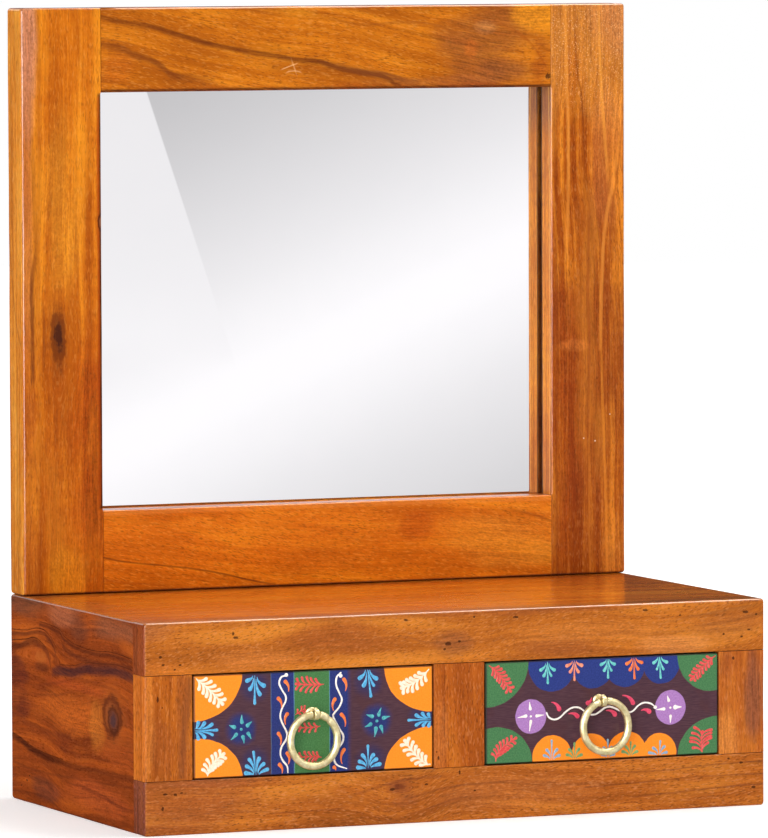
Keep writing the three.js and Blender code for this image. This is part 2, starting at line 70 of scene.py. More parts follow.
cam_data = bpy.data.cameras.new("camera")
cam = bpy.data.objects.new("camera", cam_data)
scene.collection.objects.link(cam)
scene.camera = cam
yaw, pitch, roll = (math.radians(a) for a in (22.9346, -3.7068, -0.1865))
fwd = Vector((math.sin(yaw) * math.cos(pitch), math.cos(yaw) * math.cos(pitch), math.sin(pitch)))
right0 = Vector((math.cos(yaw), -math.sin(yaw), 0))
up0 = right0.cross(fwd)
right = math.cos(roll) * right0 + math.sin(roll) * up0
up = -math.sin(roll) * right0 + math.cos(roll) * up0
cam.matrix_world = Matrix.Translation(P(-2068.03, -5616.71, 675.19)) @ Matrix((right, up, -fwd)).transposed().to_4x4()
cam_data.sensor_fit = "AUTO"
cam_data.sensor_width = 36.0
cam_data.lens = 339.454
cam_data.clip_start, cam_data.clip_end = 0.1, 200.0

scene.view_settings.view_transform = "Standard"
scene.view_settings.look = "None"
scene.view_settings.exposure = 0.0
scene.view_settings.gamma = 1.0


def srgb(r, g, b):
    """Colour picked on a 0..255 screen scale, as linear RGBA."""
    out = []
    for c in (r, g, b):
        c = max(0.0, c) / 255.0
        out.append(c / 12.92 if c <= 0.04045 else ((c + 0.055) / 1.055) ** 2.4)
    return (*out, 1.0)


def area_light(name, at, target, size, power, color=(1, 1, 1), size_y=None):
    data = bpy.data.lights.new(name, "AREA")
    data.shape = "RECTANGLE"
    data.size = size
    data.size_y = size_y or size
    data.energy = power
    data.color = color
    ob = bpy.data.objects.new(name, data)
    ob.location = at
    ob.rotation_mode = "QUATERNION"
    ob.rotation_quaternion = (Vector(target) - Vector(at)).to_track_quat("-Z", "Y")
    scene.collection.objects.link(ob)
    return ob


area_light("key", (-1.75, -2.1, 1.05), (0, 0, 0.45), 0.8, 31.0, size_y=1.95)
area_light("fill", (2.4, -2.2, 1.6), (0, 0, 0.25), 1.4, 16.0)
area_light("top", (0.95, 0.05, 2.3), (0.1, 0, 0.2), 1.7, 19.0, size_y=0.9)
# strips that only draw the bright lines on polished edges
strips = [
    area_light("strip_left", (-2.04, -1.65, 0.6), (0.0, 0.0, 0.6), 1.7, 130.0, (1.0, 0.95, 0.93), size_y=2.2),
    area_light("strip_top", (0.95, 0.15, 2.2), (0.0, 0.0, 0.3), 1.9, 55.0, (1.0, 0.90, 0.80), size_y=1.0),
    area_light("strip_back", (-0.6, 3.0, 1.25), (0.0, 0.0, 0.3), 1.6, 6.0, (1.0, 0.95, 0.93), size_y=0.7),
]
for ob in strips:
    ob.visible_camera = ob.visible_diffuse = ob.visible_transmission = ob.visible_volume_scatter = False

world = bpy.data.worlds.new("studio")
scene.world = world
world.use_nodes = True


class Tree:
    """Small helper around a node tree: every method returns an output socket."""

    def __init__(self, tree):
        self.t = tree
        self.t.nodes.clear()

    def new(self, kind, **props):
        n = self.t.nodes.new(kind)
        for k, v in props.items():
            setattr(n, k, v)
        return n

    def put(self, socket, value):
        if value is None:
            return
        if isinstance(value, bpy.types.NodeSocket):
            self.t.links.new(value, socket)
        else:
            socket.default_value = value

    def math(self, op, a, b=None, c=None, clamp=False):
        n = self.new("ShaderNodeMath", operation=op, use_clamp=clamp)
        for s, v in zip(n.inputs, (a, b, c)):
            self.put(s, v)
        return n.outputs[0]

    def add(self, a, b): return self.math("ADD", a, b)
    def sub(self, a, b): return self.math("SUBTRACT", a, b)
    def mul(self, a, b): return self.math("MULTIPLY", a, b)
    def madd(self, a, b, c): return self.math("MULTIPLY_ADD", a, b, c)
    def absval(self, a): return self.math("ABSOLUTE", a)

    def xyz(self, x, y, z):
        n = self.new("ShaderNodeCombineXYZ")
        for s, v in zip(n.inputs, (x, y, z)):
            self.put(s, v)
        return n.outputs[0]

    def split(self, v):
        n = self.new("ShaderNodeSeparateXYZ")
        self.put(n.inputs[0], v)
        return n.outputs[0], n.outputs[1], n.outputs[2]

    def step(self, lo, hi, x):
        """Smooth step from 0 at lo to 1 at hi; lo may be above hi."""
        n = self.new("ShaderNodeMapRange", interpolation_type="SMOOTHSTEP", clamp=True)
        flip = lo > hi
        self.put(n.inputs["Value"], x)
        self.put(n.inputs["From Min"], hi if flip else lo)
        self.put(n.inputs["From Max"], lo if flip else hi)
        self.put(n.inputs["To Min"], 1.0 if flip else 0.0)
        self.put(n.inputs["To Max"], 0.0 if flip else 1.0)
        return n.outputs[0]

    def remap(self, x, a, b, c, d):
        n = self.new("ShaderNodeMapRange", interpolation_type="LINEAR", clamp=True)
        for k, v in zip(("Value", "From Min", "From Max", "To Min", "To Max"), (x, a, b, c, d)):
            self.put(n.inputs[k], v)
        return n.outputs[0]

    def noise(self, vec, scale=1.0, detail=2.0, rough=0.5, color=False):
        n = self.new("ShaderNodeTexNoise", noise_dimensions="3D")
        self.put(n.inputs["Vector"], vec)
        self.put(n.inputs["Scale"], scale)
        self.put(n.inputs["Detail"], detail)
        self.put(n.inputs["Roughness"], rough)
        return n.outputs[1 if color else 0]

    def ramp(self, x, stops, interp="LINEAR"):
        n = self.new("ShaderNodeValToRGB")
        r = n.color_ramp
        r.interpolation = interp
        while len(r.elements) > 1:
            r.elements.remove(r.elements[-1])
        r.elements[0].position = stops[0][0]
        r.elements[0].color = stops[0][1]
        for p, c in stops[1:]:
            e = r.elements.new(p)
            e.color = c
        self.put(n.inputs[0], x)
        return n.outputs[0]

    def mix(self, f, a, b, kind="MIX"):
        n = self.new("ShaderNodeMix", data_type="RGBA", blend_type=kind, clamp_factor=True)
        self.put(n.inputs[0], f)
        self.put(n.inputs[6], a)
        self.put(n.inputs[7], b)
        return n.outputs[2]

    def curve(self, x, points, handle="AUTO"):
        """Piecewise curve through (x, y) points, constant past its ends."""
        xs = [p[0] for p in points]
        ys = [p[1] for p in points]
        x0, x1 = min(xs), max(xs)
        pad = 0.08 * (max(ys) - min(ys)) + 1e-4
        y0, y1 = min(ys) - pad, max(ys) + pad
        n = self.new("ShaderNodeFloatCurve")
        c = n.mapping.curves[0]
        pts = sorted(((px - x0) / (x1 - x0), (py - y0) / (y1 - y0)) for px, py in points)
        while len(c.points) > 2:
            c.points.remove(c.points[1])
        c.points[0].location = pts[0]
        c.points[-1].location = pts[-1]
        for p in pts[1:-1]:
            c.points.new(*p)
        for p in c.points:
            p.handle_type = handle
        n.mapping.update()
        self.put(n.inputs["Value"], self.remap(x, x0, x1, 0.0, 1.0))
        return self.madd(n.outputs[0], y1 - y0, y0)


def material(name):
    m = bpy.data.materials.new(name)
    m.use_nodes = True
    return m, Tree(m.node_tree)


w = Tree(world.node_tree)
path = w.new("ShaderNodeLightPath")
sky_vec = w.new("ShaderNodeTexCoord").outputs["Generated"]
sx, sy, sz = w.split(sky_vec)
# a bright room in front, a darker one behind the object; what the camera sees directly is plain white
behind = w.mul(w.step(0.15, 0.75, sy), w.step(0.75, 0.25, sz))
level = w.remap(behind, 0.0, 1.0, 0.62, 0.16)
# a flag at the front right keeps the faces free of glare
ahead = w.math("SQRT", w.add(w.math("POWER", w.sub(sx, 0.39), 2.0), w.add(w.math("POWER", w.add(sy, 0.92), 2.0), w.math("POWER", w.add(sz, 0.065), 2.0))))
level = w.sub(level, w.mul(w.step(0.85, 0.35, ahead), 0.5))
# black flags around the set keep the lacquer deep: gloss sees a dim room with a little light high up at the back
gloss = w.add(w.remap(behind, 0.0, 1.0, 0.07, 0.02), w.mul(w.step(0.2, 0.8, sy), w.mul(w.step(0.2, 0.45, sz), 0.16)))
level = w.madd(path.outputs["Is Glossy Ray"], w.sub(gloss, level), level)
level = w.mix(path.outputs["Is Camera Ray"], w.ramp(level, [(0, (0, 0, 0, 1)), (1, (1, 1, 1, 1))]), (1, 1, 1, 1))
bg = w.new("ShaderNodeBackground")
w.put(bg.inputs["Color"], level)
bg.inputs["Strength"].default_value = 1.0
out = w.new("ShaderNodeOutputWorld")
w.t.links.new(bg.outputs[0], out.inputs[0])


def mesh_object(name, verts, faces, smooth=True):
    me = bpy.data.meshes.new(name)
    me.from_pydata([tuple(v) for v in verts], [], [tuple(f) for f in faces])
    me.validate()
    ob = bpy.data.objects.new(name, me)
    scene.collection.objects.link(ob)
    if smooth:
        me.polygons.foreach_set("use_smooth", [True] * len(me.polygons))
    return ob


def flat_disc(name, radius, z, n=96):
    vs = [(radius * math.cos(2 * math.pi * i / n), radius * math.sin(2 * math.pi * i / n), z) for i in range(n)]
    return mesh_object(name, vs, [list(range(n))], smooth=False)


floor = flat_disc("floor", 9.0, 0.0)
m, t = material("floor_pale")
bs = t.new("ShaderNodeBsdfPrincipled")
pos = t.new("ShaderNodeTexCoord").outputs["Object"]
t.put(bs.inputs["Base Color"], t.mix(t.noise(pos, 3.0, 2.0), (0.93, 0.93, 0.925, 1), (0.96, 0.96, 0.955, 1)))
bs.inputs["Roughness"].default_value = 0.9
bs.inputs["Specular IOR Level"].default_value = 0.1
fx, fy, fz = t.split(pos)
away = t.math("SQRT", t.add(t.mul(fx, fx), t.mul(fy, fy)))
t.put(bs.inputs["Emission Color"], (1.0, 1.0, 1.0, 1.0))
t.put(bs.inputs["Emission Strength"], t.remap(away, 0.25, 1.1, 0.30, 0.6))
t.t.links.new(bs.outputs[0], t.new("ShaderNodeOutputMaterial").inputs[0])
floor.data.materials.append(m)
floor.visible_glossy = False

# A pale card in front of the object, out of the picture, seen only in the mirror.
CARD_Y = -2.45
MIRROR_Y = (-7.8 + CY) / 1000.0
card = mesh_object("mirror_card", [(0.45, CARD_Y, 0.003), (2.1, CARD_Y, 0.003), (2.1, CARD_Y, 0.9), (0.45, CARD_Y, 0.9)], [(0, 3, 2, 1)], smooth=False)
card.visible_camera = card.visible_diffuse = card.visible_shadow = card.visible_transmission = False
m, t = material("card")
o = t.new("ShaderNodeTexCoord").outputs["Object"]
ox, oy, oz = t.split(o)
# the same place on the mirror, in millimetres from the left side and from the floor
cam_y = cam.matrix_world.translation.y
scale = (2 * MIRROR_Y - cam_y - CARD_Y) / (MIRROR_Y - cam_y)
cam_x, cam_z = cam.matrix_world.translation.x, cam.matrix_world.translation.z
mx = t.madd(t.mul(t.sub(ox, cam_x), 1 / scale), 1000.0, 1000.0 * cam_x + CX)
mz = t.madd(t.mul(t.sub(oz, cam_z), 1 / scale), 1000.0, 1000.0 * cam_z)
d = t.add(t.mul(mx, 0.3907), t.mul(mz, -0.9205))  # falls towards the lower right
shade = t.curve(d, [(-470, 0.53), (-420, 0.595), (-360, 0.705), (-300, 0.825), (-240, 0.955), (-212, 0.992), (-180, 0.95), (-120, 0.817), (-60, 0.70), (-10, 0.61)])
# a second sheet's edge crosses the upper left
edge = t.sub(mx, t.madd(t.sub(534.6, mz), 0.3437, 110.4))
wedge = t.mul(t.step(0.7, -0.7, edge), t.step(318.0, 352.0, mz))
shade = t.add(shade, t.mul(wedge, t.sub(t.curve(mz, [(320, 0.935), (360, 0.905), (400, 0.87), (440, 0.85), (500, 0.84), (545, 0.825)]), shade)))
em = t.new("ShaderNodeEmission")
t.put(em.inputs["Color"], t.mix(shade, (0, 0, 0, 1), (1.0, 0.975, 1.0, 1)))
em.inputs["Strength"].default_value = 1.05
t.t.links.new(em.outputs[0], t.new("ShaderNodeOutputMaterial").inputs[0])
card.data.materials.append(m)

# A soft pale room around the set, seen only by the mirror and the brass.
arc = [math.radians(-205 + 230 * i / 46) for i in range(47)]
room_v = [(3.6 * math.cos(a), 3.6 * math.sin(a), z) for z in (-0.05, 0.4, 1.2, 2.4) for a in arc]
room_f = [(k * 47 + i, k * 47 + i + 1, (k + 1) * 47 + i + 1, (k + 1) * 47 + i) for k in range(3) for i in range(46)]
room = mesh_object("room", room_v, [tuple(reversed(f)) for f in room_f])
room.visible_camera = room.visible_diffuse = room.visible_shadow = room.visible_transmission = False
m, t = material("room_pale")
rx, ry, rz = t.split(t.new("ShaderNodeTexCoord").outputs["Object"])
em = t.new("ShaderNodeEmission")
glow = t.add(t.curve(rz, [(-0.05, 0.74), (0.3, 0.66), (0.9, 0.76), (1.7, 0.95), (2.4, 0.85)]), t.mul(t.noise(t.xyz(rx, ry, 0.0), 0.9, 1.0), 0.2))
t.put(em.inputs["Color"], t.mix(t.sub(glow, 0.18), (0, 0, 0, 1), (1.0, 0.985, 1.0, 1)))
em.inputs["Strength"].default_value = 1.0
t.t.links.new(em.outputs[0], t.new("ShaderNodeOutputMaterial").inputs[0])
room.data.materials.append(m)

floor_glow = flat_disc("floor_glow", 3.5, -0.0006)
floor_glow.visible_camera = floor_glow.visible_diffuse = floor_glow.visible_shadow = floor_glow.visible_transmission = False
m, t = material("floor_glow")
gx, gy, gz = t.split(t.new("ShaderNodeTexCoord").outputs["Object"])
gr = t.math("SQRT", t.add(t.mul(gx, gx), t.mul(gy, gy)))
em = t.new("ShaderNodeEmission")
t.put(em.inputs["Color"], t.mix(t.step(0.2, 1.6, gr), (0.62, 0.62, 0.62, 1), (0.9, 0.9, 0.9, 1)))
em.inputs["Strength"].default_value = 1.0
t.t.links.new(em.outputs[0], t.new("ShaderNodeOutputMaterial").inputs[0])
floor_glow.data.materials.append(m)

# ------------------------------------------------------------------ boards


def nz(x, y, z, s):
    return noise.noise(Vector((x / s, y / s, z / s)))


def loft(name, axis, stations, ring):
    """A closed solid through the polygons ring(t) at each station; all rings have the same count."""
    verts, faces = [], []
    n = None
    for tt in stations:
        r = ring(tt)
        n = n or len(r)
        assert len(r) == n, name
        for a, b in r:
            verts.append({"x": (tt, a, b), "y": (b, tt, a), "z": (a, b, tt)}[axis])
    k = len(stations)
    for i in range(k - 1):
        for j in range(n):
            j2 = (j + 1) % n
            faces.append((i * n + j, i * n + j2, (i + 1) * n + j2, (i + 1) * n + j))
    faces.append(tuple(reversed(range(n))))
    faces.append(tuple((k - 1) * n + j for j in range(n)))
    return name, verts, faces


def spread(a, b, step):
    n = max(1, int(round(abs(b - a) / step)))
    return [a + (b - a) * i / n for i in range(n)]


def rounded_rect(a0, a1, b0, b1, r00, r10, r11, r01, step, seg=5):
    """Counter-clockwise points of a rectangle with its own radius at each corner."""
    pts = []

    def arc(ca, cb, r, start):
        for i in range(seg + 1):
            q = math.radians(start + 90.0 * i / seg)
            pts.append((ca + r * math.cos(q), cb + r * math.sin(q)))

    def side(p, q, count):
        for i in range(1, count):
            f = i / count
            pts.append((p[0] + (q[0] - p[0]) * f, p[1] + (q[1] - p[1]) * f))

    na, nb = max(1, round((a1 - a0) / step)), max(1, round((b1 - b0) / step))
    arc(a0 + r00, b0 + r00, r00, 180)
    side((a0 + r00, b0), (a1 - r10, b0), na)
    arc(a1 - r10, b0 + r10, r10, 270)
    side((a1, b0 + r10), (a1, b1 - r11), nb)
    arc(a1 - r11, b1 - r11, r11, 0)
    side((a1 - r11, b1), (a0 + r01, b1), na)
    arc(a0 + r01, b1 - r01, r01, 90)
    side((a0, b1 - r01), (a0, b0 + r00), nb)
    return pts


def end_inset(tt, t0, t1, r0, r1):
    """How far the surface draws in near an eased end."""
    e = 0.0
    if r0 > 0 and tt < t0 + r0:
        q = t0 + r0 - tt
        e = max(e, r0 - math.sqrt(max(0.0, r0 * r0 - q * q)))
    if r1 > 0 and tt > t1 - r1:
        q = tt - (t1 - r1)
        e = max(e, r1 - math.sqrt(max(0.0, r1 * r1 - q * q)))
    return e


def stations_for(t0, t1, r0, r1, step, extra=()):
    st = []
    if r0 > 0:
        st += [t0 + r0 * (1 - math.cos(math.radians(a))) for a in (0, 15, 30, 47, 66, 90)]
    else:
        st += [t0]
    if r1 > 0:
        tail = [t1 - r1 * (1 - math.cos(math.radians(a))) for a in (90, 66, 47, 30, 15, 0)]
    else:
        tail = [t1]
    st += spread(st[-1], tail[0], step)[1:] + tail
    st = sorted(set(round(x, 5) for x in list(st) + list(extra)))
    return st


def board(name, axis, lo, hi, radii, ends=(0, 0), end_sides=(1, 1, 1, 1), step=12.0, wear=0.12, seed=0.0, extra=()):
    """An eased board from lo to hi (mm), long along axis. radii: four numbers or functions of the place along it."""
    ia, ib = {"x": (1, 2), "y": (2, 0), "z": (0, 1)}[axis]
    it = {"x": 0, "y": 1, "z": 2}[axis]
    t0, t1 = lo[it], hi[it]
    rr = [r if callable(r) else (lambda tt, r=r: r) for r in radii]

    def ring(tt):
        e = end_inset(tt, t0, t1, *ends)
        a0, a1 = lo[ia] + e * end_sides[0], hi[ia] - e * end_sides[1]
        b0, b1 = lo[ib] + e * end_sides[2], hi[ib] - e * end_sides[3]
        r = [max(0.05, q(tt) * (1 + 0.22 * nz(tt, 31.0 * i, seed, 37.0)) - 0.3 * e) for i, q in enumerate(rr)]
        return rounded_rect(a0, a1, b0, b1, *r, step)

    _, verts, faces = loft(name, axis, stations_for(t0, t1, ends[0], ends[1], step, extra), ring)
    out = []
    for v in verts:
        d = [wear * noise.noise(Vector((v[0] / 55 + seed, v[1] / 55 + 7 * k, v[2] / 55))) for k in range(3)]
        out.append([min(max(v[k] + d[k], lo[k]), hi[k]) for k in range(3)])
    return mesh_object(name, [P(*v) for v in out], faces)


def box_tool(x0, x1, y0, y1, z0, z1):
    vs = [P(x, y, z) for x in (x0, x1) for y in (y0, y1) for z in (z0, z1)]
    fs = [(0, 1, 3, 2), (4, 6, 7, 5), (0, 4, 5, 1), (2, 3, 7, 6), (0, 2, 6, 4), (1, 5, 7, 3)]
    return mesh_object("tool", vs, fs, smooth=False)


def rod_tool(axis, c, a, b, r0, r1=None, n=40):
    """A cylinder or cone from a to b along axis through the two other coordinates c."""
    r1 = r0 if r1 is None else r1
    vs = []
    for tt, r in ((a, r0), (b, r1)):
        for i in range(n):
            q = 2 * math.pi * i / n
            u, v = c[0] + r * math.cos(q), c[1] + r * math.sin(q)
            vs.append(P(*{"x": (tt, u, v), "y": (v, tt, u), "z": (u, v, tt)}[axis]))
    fs = [(i, (i + 1) % n, n + (i + 1) % n, n + i) for i in range(n)]
    fs += [tuple(reversed(range(n))), tuple(range(n, 2 * n))]
    return mesh_object("tool", vs, fs, smooth=False)


def carve(ob, *tools):
    for tool in tools:
        mod = ob.modifiers.new("cut", "BOOLEAN")
        mod.operation, mod.object, mod.solver = "DIFFERENCE", tool, "EXACT"
    dg = bpy.context.evaluated_depsgraph_get()
    me = bpy.data.meshes.new_from_object(ob.evaluated_get(dg))
    ob.modifiers.clear()
    old, ob.data = ob.data, me
    me.name = ob.name
    bpy.data.meshes.remove(old)
    for tool in tools:
        data = tool.data
        bpy.data.objects.remove(tool)
        bpy.data.meshes.remove(data)
    me.polygons.foreach_set("use_smooth", [True] * len(me.polygons))
    return ob


def finish_mesh(ob, angle=32):
    ob.data.set_sharp_from_angle(angle=math.radians(angle))
    mod = ob.modifiers.new("normals", "WEIGHTED_NORMAL")
    mod.keep_sharp = True
    mod.weight = 80


def place(ob, mat, body, replaced, angle=32, side_mat=None, side_x=-0.2475):
    ob.data.materials.clear()
    ob.data.materials.append(mat)
    if side_mat:  # the left face of a board gets a material of its own: another cut of the wood, and on the frame's left side a brighter copy painted with the light from the left
        ob.data.materials.append(side_mat)
        for poly in ob.data.polygons:
            poly.material_index = 1 if poly.normal.x < -0.72 and poly.center.x < side_x else 0
    finish_mesh(ob, angle)
    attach(ob, body)
    if replaced:
        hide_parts(*([replaced] if isinstance(replaced, str) else replaced))
    return ob


# ------------------------------------------------------------------ wood


def object_mm(t):
    """X, Y, Z of the drawing in millimetres, from the object's own coordinates."""
    x, y, z = t.split(t.new("ShaderNodeTexCoord").outputs["Object"])
    return t.madd(x, 1000.0, CX), t.madd(y, 1000.0, -CY), t.mul(z, 1000.0)


def wood(name, grain, light, mid, dark, seed, guide=None, slope=0.0, streaks=(), knots=(), tints=(),
         ring_w=9.0, bands=0.75, lines=0.35, flecks=0.5, fleck_slope=0.0, fleck_len=4.5, cloud=0.5, ripple=0.25,
         warp=5.0, rough=0.34, coat=0.8, depth=1.0, bend=0.0, pits=(), glint_specks=None, contrast=1.1, sat=(0.98, 0.94, 0.6), deep=0.5, joint_shade_z=None):
    """Lacquered hardwood. grain: which of X, Y, Z runs along, across and into the board.
    guide: (along, across) points that the grain follows. streaks: dicts with pts, w, k, and color."""
    light, mid, dark = ([c[0] * sat[0], c[1] * sat[1], c[2] * sat[2]] for c in (light, mid, dark))
    m, t = material(name)
    X = dict(zip("XYZ", object_mm(t)))
    u, v, d = (X[c] for c in grain)
    S = seed * 173.3
    us = t.add(u, S)

    # slow wander of the fibres
    n1 = t.noise(t.xyz(t.mul(us, 1 / 170.0), t.mul(v, 1 / 42.0), t.mul(d, 1 / 42.0)), 1.0, 1.0)
    n2 = t.noise(t.xyz(t.mul(us, 1 / 48.0), t.mul(v, 1 / 15.0), t.mul(d, 1 / 15.0)), 1.0, 1.0)
    vv = t.add(v, t.madd(n1, 2 * warp, -warp))
    vv = t.add(vv, t.madd(n2, 2.4, -1.2))
    if guide:
        vv = t.sub(vv, t.curve(u, guide))
    if slope:
        vv = t.sub(vv, t.mul(u, slope))
    for k in knots:
        ku, kv, ru, rv, amp = k["at"][0], k["at"][1], k["r"][0], k["r"][1], k.get("amp", 4.0)
        du = t.mul(t.sub(u, ku), 1.0 / (ru * 2.6))
        dv = t.sub(v, kv)
        fall_u = t.math("EXPONENT", t.mul(t.mul(du, du), -1.0))
        fall_v = t.math("EXPONENT", t.mul(t.absval(dv), -1.0 / (rv * 2.4)))
        side = t.math("TANH", t.mul(dv, 1.0 / (rv * 0.35)))
        vv = t.sub(vv, t.mul(t.mul(fall_u, fall_v), t.mul(side, amp)))
    dd = t.madd(d, depth, t.mul(n1, 4.0))
    r = t.add(vv, t.mul(dd, 0.35))
    if bend:
        r = t.add(r, t.mul(t.mul(vv, vv), bend))

    # broad bands, growth lines, fibres
    band = t.noise(t.xyz(t.mul(us, 1 / 520.0), t.mul(r, 1 / ring_w), t.mul(dd, 1 / 90.0)), 1.0, 2.0, 0.55)
    band2 = t.noise(t.xyz(t.mul(us, 1 / 260.0), t.mul(r, 1 / (ring_w * 0.3)), t.mul(dd, 1 / 60.0)), 1.0, 2.0, 0.6)
    fibre = t.noise(t.xyz(t.mul(us, 1 / 18.0), t.mul(r, 1 / 1.2), t.mul(dd, 1 / 1.2)), 1.0, 2.0, 0.6)
    ripl = t.noise(t.xyz(t.mul(us, 1 / 9.0), t.mul(vv, 1 / 26.0), t.mul(dd, 1 / 26.0)), 1.0, 2.0, 0.6)
    clou = t.noise(t.xyz(t.mul(us, 1 / 75.0), t.mul(vv, 1 / 30.0), t.mul(dd, 1 / 30.0)), 1.0, 1.0, 0.5)

    tone = t.add(t.madd(band, bands * 1.9 * contrast, 0.5 - bands * 0.95 * contrast),
                 t.madd(band2, lines * 1.25 * contrast, -lines * 0.625 * contrast))
    tone = t.add(tone, t.madd(fibre, 0.42 * contrast, -0.21 * contrast))
    speck = t.noise(t.xyz(t.mul(us, 1 / 2.2), t.mul(vv, 1 / 1.3), t.mul(dd, 1 / 1.3)), 1.0, 1.0, 0.6)
    tone = t.add(tone, t.madd(speck, 0.5 * flecks, -0.25 * flecks))
    tone = t.add(tone, t.madd(ripl, ripple, -0.5 * ripple))
    tone = t.add(tone, t.madd(clou, cloud, -0.5 * cloud))
    col = t.ramp(tone, [(0.0, srgb(*dark)), (0.28, srgb(*[(a * 0.45 + b * 0.55) for a, b in zip(dark, mid)])), (0.52, srgb(*mid)), (0.85, srgb(*light)), (1.0, srgb(*[min(255, a * 1.07) for a in light]))])

    # broad clouds of deeper and of more golden wood
    c2 = t.noise(t.xyz(t.mul(us, 1 / 120.0), t.madd(vv, 1 / 22.0, 11.0), t.mul(dd, 1 / 22.0)), 1.0, 2.0, 0.55)
    col = t.mix(t.mul(t.step(0.5, 0.72, c2), deep), col, srgb(*[a * 0.62 + b * 0.38 for a, b in zip(dark, mid)]))
    col = t.mix(t.mul(t.step(0.5, 0.28, c2), deep * 0.8), col, srgb(min(255, light[0] * 1.02), light[1] * 1.06, light[2] * 1.1))
    # short pores, dark, with pale ones between them
    fv = vv if not fleck_slope else t.sub(vv, t.mul(u, fleck_slope))
    fl = t.noise(t.xyz(t.mul(us, 1 / (fleck_len * 1.1)), t.mul(fv, 1 / 1.05), t.mul(dd, 1 / 1.05)), 1.0, 1.0, 0.6)
    fl2 = t.noise(t.xyz(t.mul(us, 1 / (fleck_len * 1.3)), t.madd(fv, 1 / 1.25, 31.0), t.mul(dd, 1 / 1.25)), 1.0, 1.0, 0.6)
    pore = t.step(0.53, 0.70, fl)
    pale = t.step(0.53, 0.72, fl2)
    patchy = t.remap(clou, 0.3, 0.7, 0.5, 1.0)
    col = t.mix(t.mul(t.mul(pore, patchy), min(1.0, flecks * 1.05)), col, srgb(*[c * 0.7 for c in dark]))
    col = t.mix(t.mul(pale, min(1.0, flecks * 0.6)), col, srgb(min(255, light[0] * 1.03 + 4), min(255, light[1] * 1.10 + 8), min(255, light[2] * 1.4 + 26)))

    wob = t.madd(t.noise(t.xyz(t.mul(us, 1 / 14.0), t.mul(v, 1 / 30.0), t.mul(d, 1 / 20.0)), 1.0, 2.0, 0.6), 1.6, -0.8)
    grainy = t.remap(t.add(t.madd(fibre, 0.45, t.mul(speck, 0.35)), t.mul(band2, 0.2)), 0.38, 0.62, 0.0, 1.0)
    for s in tints:
        # soft local change of colour: ellipse in along / across
        (au, av), (ru, rv), c, k = s["at"], s["r"], s["color"], s["k"]
        q = t.add(t.math("POWER", t.mul(t.sub(u, au), 1.0 / ru), 2.0), t.math("POWER", t.mul(t.sub(v, av), 1.0 / rv), 2.0))
        q = t.add(q, t.madd(n2, 1.3, -0.65))
        q = t.add(q, t.madd(clou, 2.4, -1.2))
        f = t.mul(t.mul(t.step(1.3, 0.0, q), t.remap(fibre, 0.3, 0.7, 1.0, 0.7)), k)
        if "side" in s:
            f = t.mul(f, t.step(*s["side"][1:], X[s["side"][0]]))
        col = t.mix(f, col, t.mix(grainy, srgb(*[q2 * 0.76 for q2 in c]), srgb(*[min(255, q2 * 1.2) for q2 in c])), s.get("kind", "MIX"))
    for s in streaks:
        line = t.curve(u, s["pts"])
        off = t.add(t.sub(v, line), t.mul(wob, s.get("wob", 1.0)))
        if s.get("lean"):
            off = t.sub(off, t.mul(t.sub(d, s["lean"][0]), s["lean"][1]))
        up_w, dn_w = s["w"]
        f = t.mul(t.step(up_w, up_w * 0.25, off), t.step(-dn_w, -dn_w * 0.25, off))
        xs = [p[0] for p in s["pts"]]
        if "k" in s and not isinstance(s["k"], (int, float)):
            f = t.mul(f, t.math("MAXIMUM", t.curve(u, s["k"]), 0.0))
        else:
            f = t.mul(f, t.mul(t.step(min(xs) - 0.5, min(xs) + 2.5, u), t.step(max(xs) + 0.5, max(xs) - 2.5, u)))
            f = t.mul(f, s.get("k", 0.8))
        f = t.mul(f, t.remap(fibre, 0.25, 0.6, 1.0, 0.72))
        if s.get("halo"):
            hw = s["halo"]
            g = t.mul(t.step(up_w + hw * 0.6, 0.0, off), t.step(-dn_w - hw, 0.0, off))
            g = t.mul(g, t.mul(t.step(min(xs) - 2, min(xs) + 14, u), t.step(max(xs) + 2, max(xs) - 14, u)))
            col = t.mix(t.mul(t.mul(g, s.get("halo_k", 0.35)), t.remap(fibre, 0.3, 0.65, 1.0, 0.5)), col, srgb(*[c * 1.15 for c in s.get("color", dark)]))
        if "side" in s:
            f = t.mul(f, t.step(*s["side"][1:], X[s["side"][0]]))
        col = t.mix(f, col, srgb(*s.get("color", [c * 0.55 for c in dark])))
    for k in knots:
        ku, kv, ru, rv = k["at"][0], k["at"][1], k["r"][0], k["r"][1]
        q = t.math("SQRT", t.add(t.math("POWER", t.mul(t.sub(u, ku), 1.0 / ru), 2.0), t.math("POWER", t.mul(t.sub(v, kv), 1.0 / rv), 2.0)))
        rag = k.get("rag", 0.5)
        q = t.add(q, t.madd(n2, rag, -0.5 * rag))
        q = t.add(q, t.madd(t.noise(t.xyz(t.mul(u, 1 / 7.0), t.mul(v, 1 / 5.0), 3.0), 1.0, 2.0, 0.6), 1.4 * rag, -0.7 * rag))
        q = t.add(q, t.madd(fibre, 0.5, -0.25))
        halo = t.mul(t.step(2.1, 0.7, q), k.get("halo", 0.5))
        col = t.mix(halo, col, srgb(*k.get("halo_color", dark)))
        rim = t.mul(t.mul(t.step(0.55, 0.95, q), t.step(1.35, 1.0, q)), k.get("rim", 0.0))
        col = t.mix(rim, col, srgb(*k.get("rim_color", (70, 28, 12))))
        core = t.mul(t.step(1.0, 0.35, q), k.get("core", 0.85))
        if "side" in k:
            core = t.mul(core, t.step(*k["side"][1:], X[k["side"][0]]))
        col = t.mix(core, col, srgb(*k.get("color", (66, 30, 16))))
    pit_mask = None
    for pu, pv, ru, rv in pits:
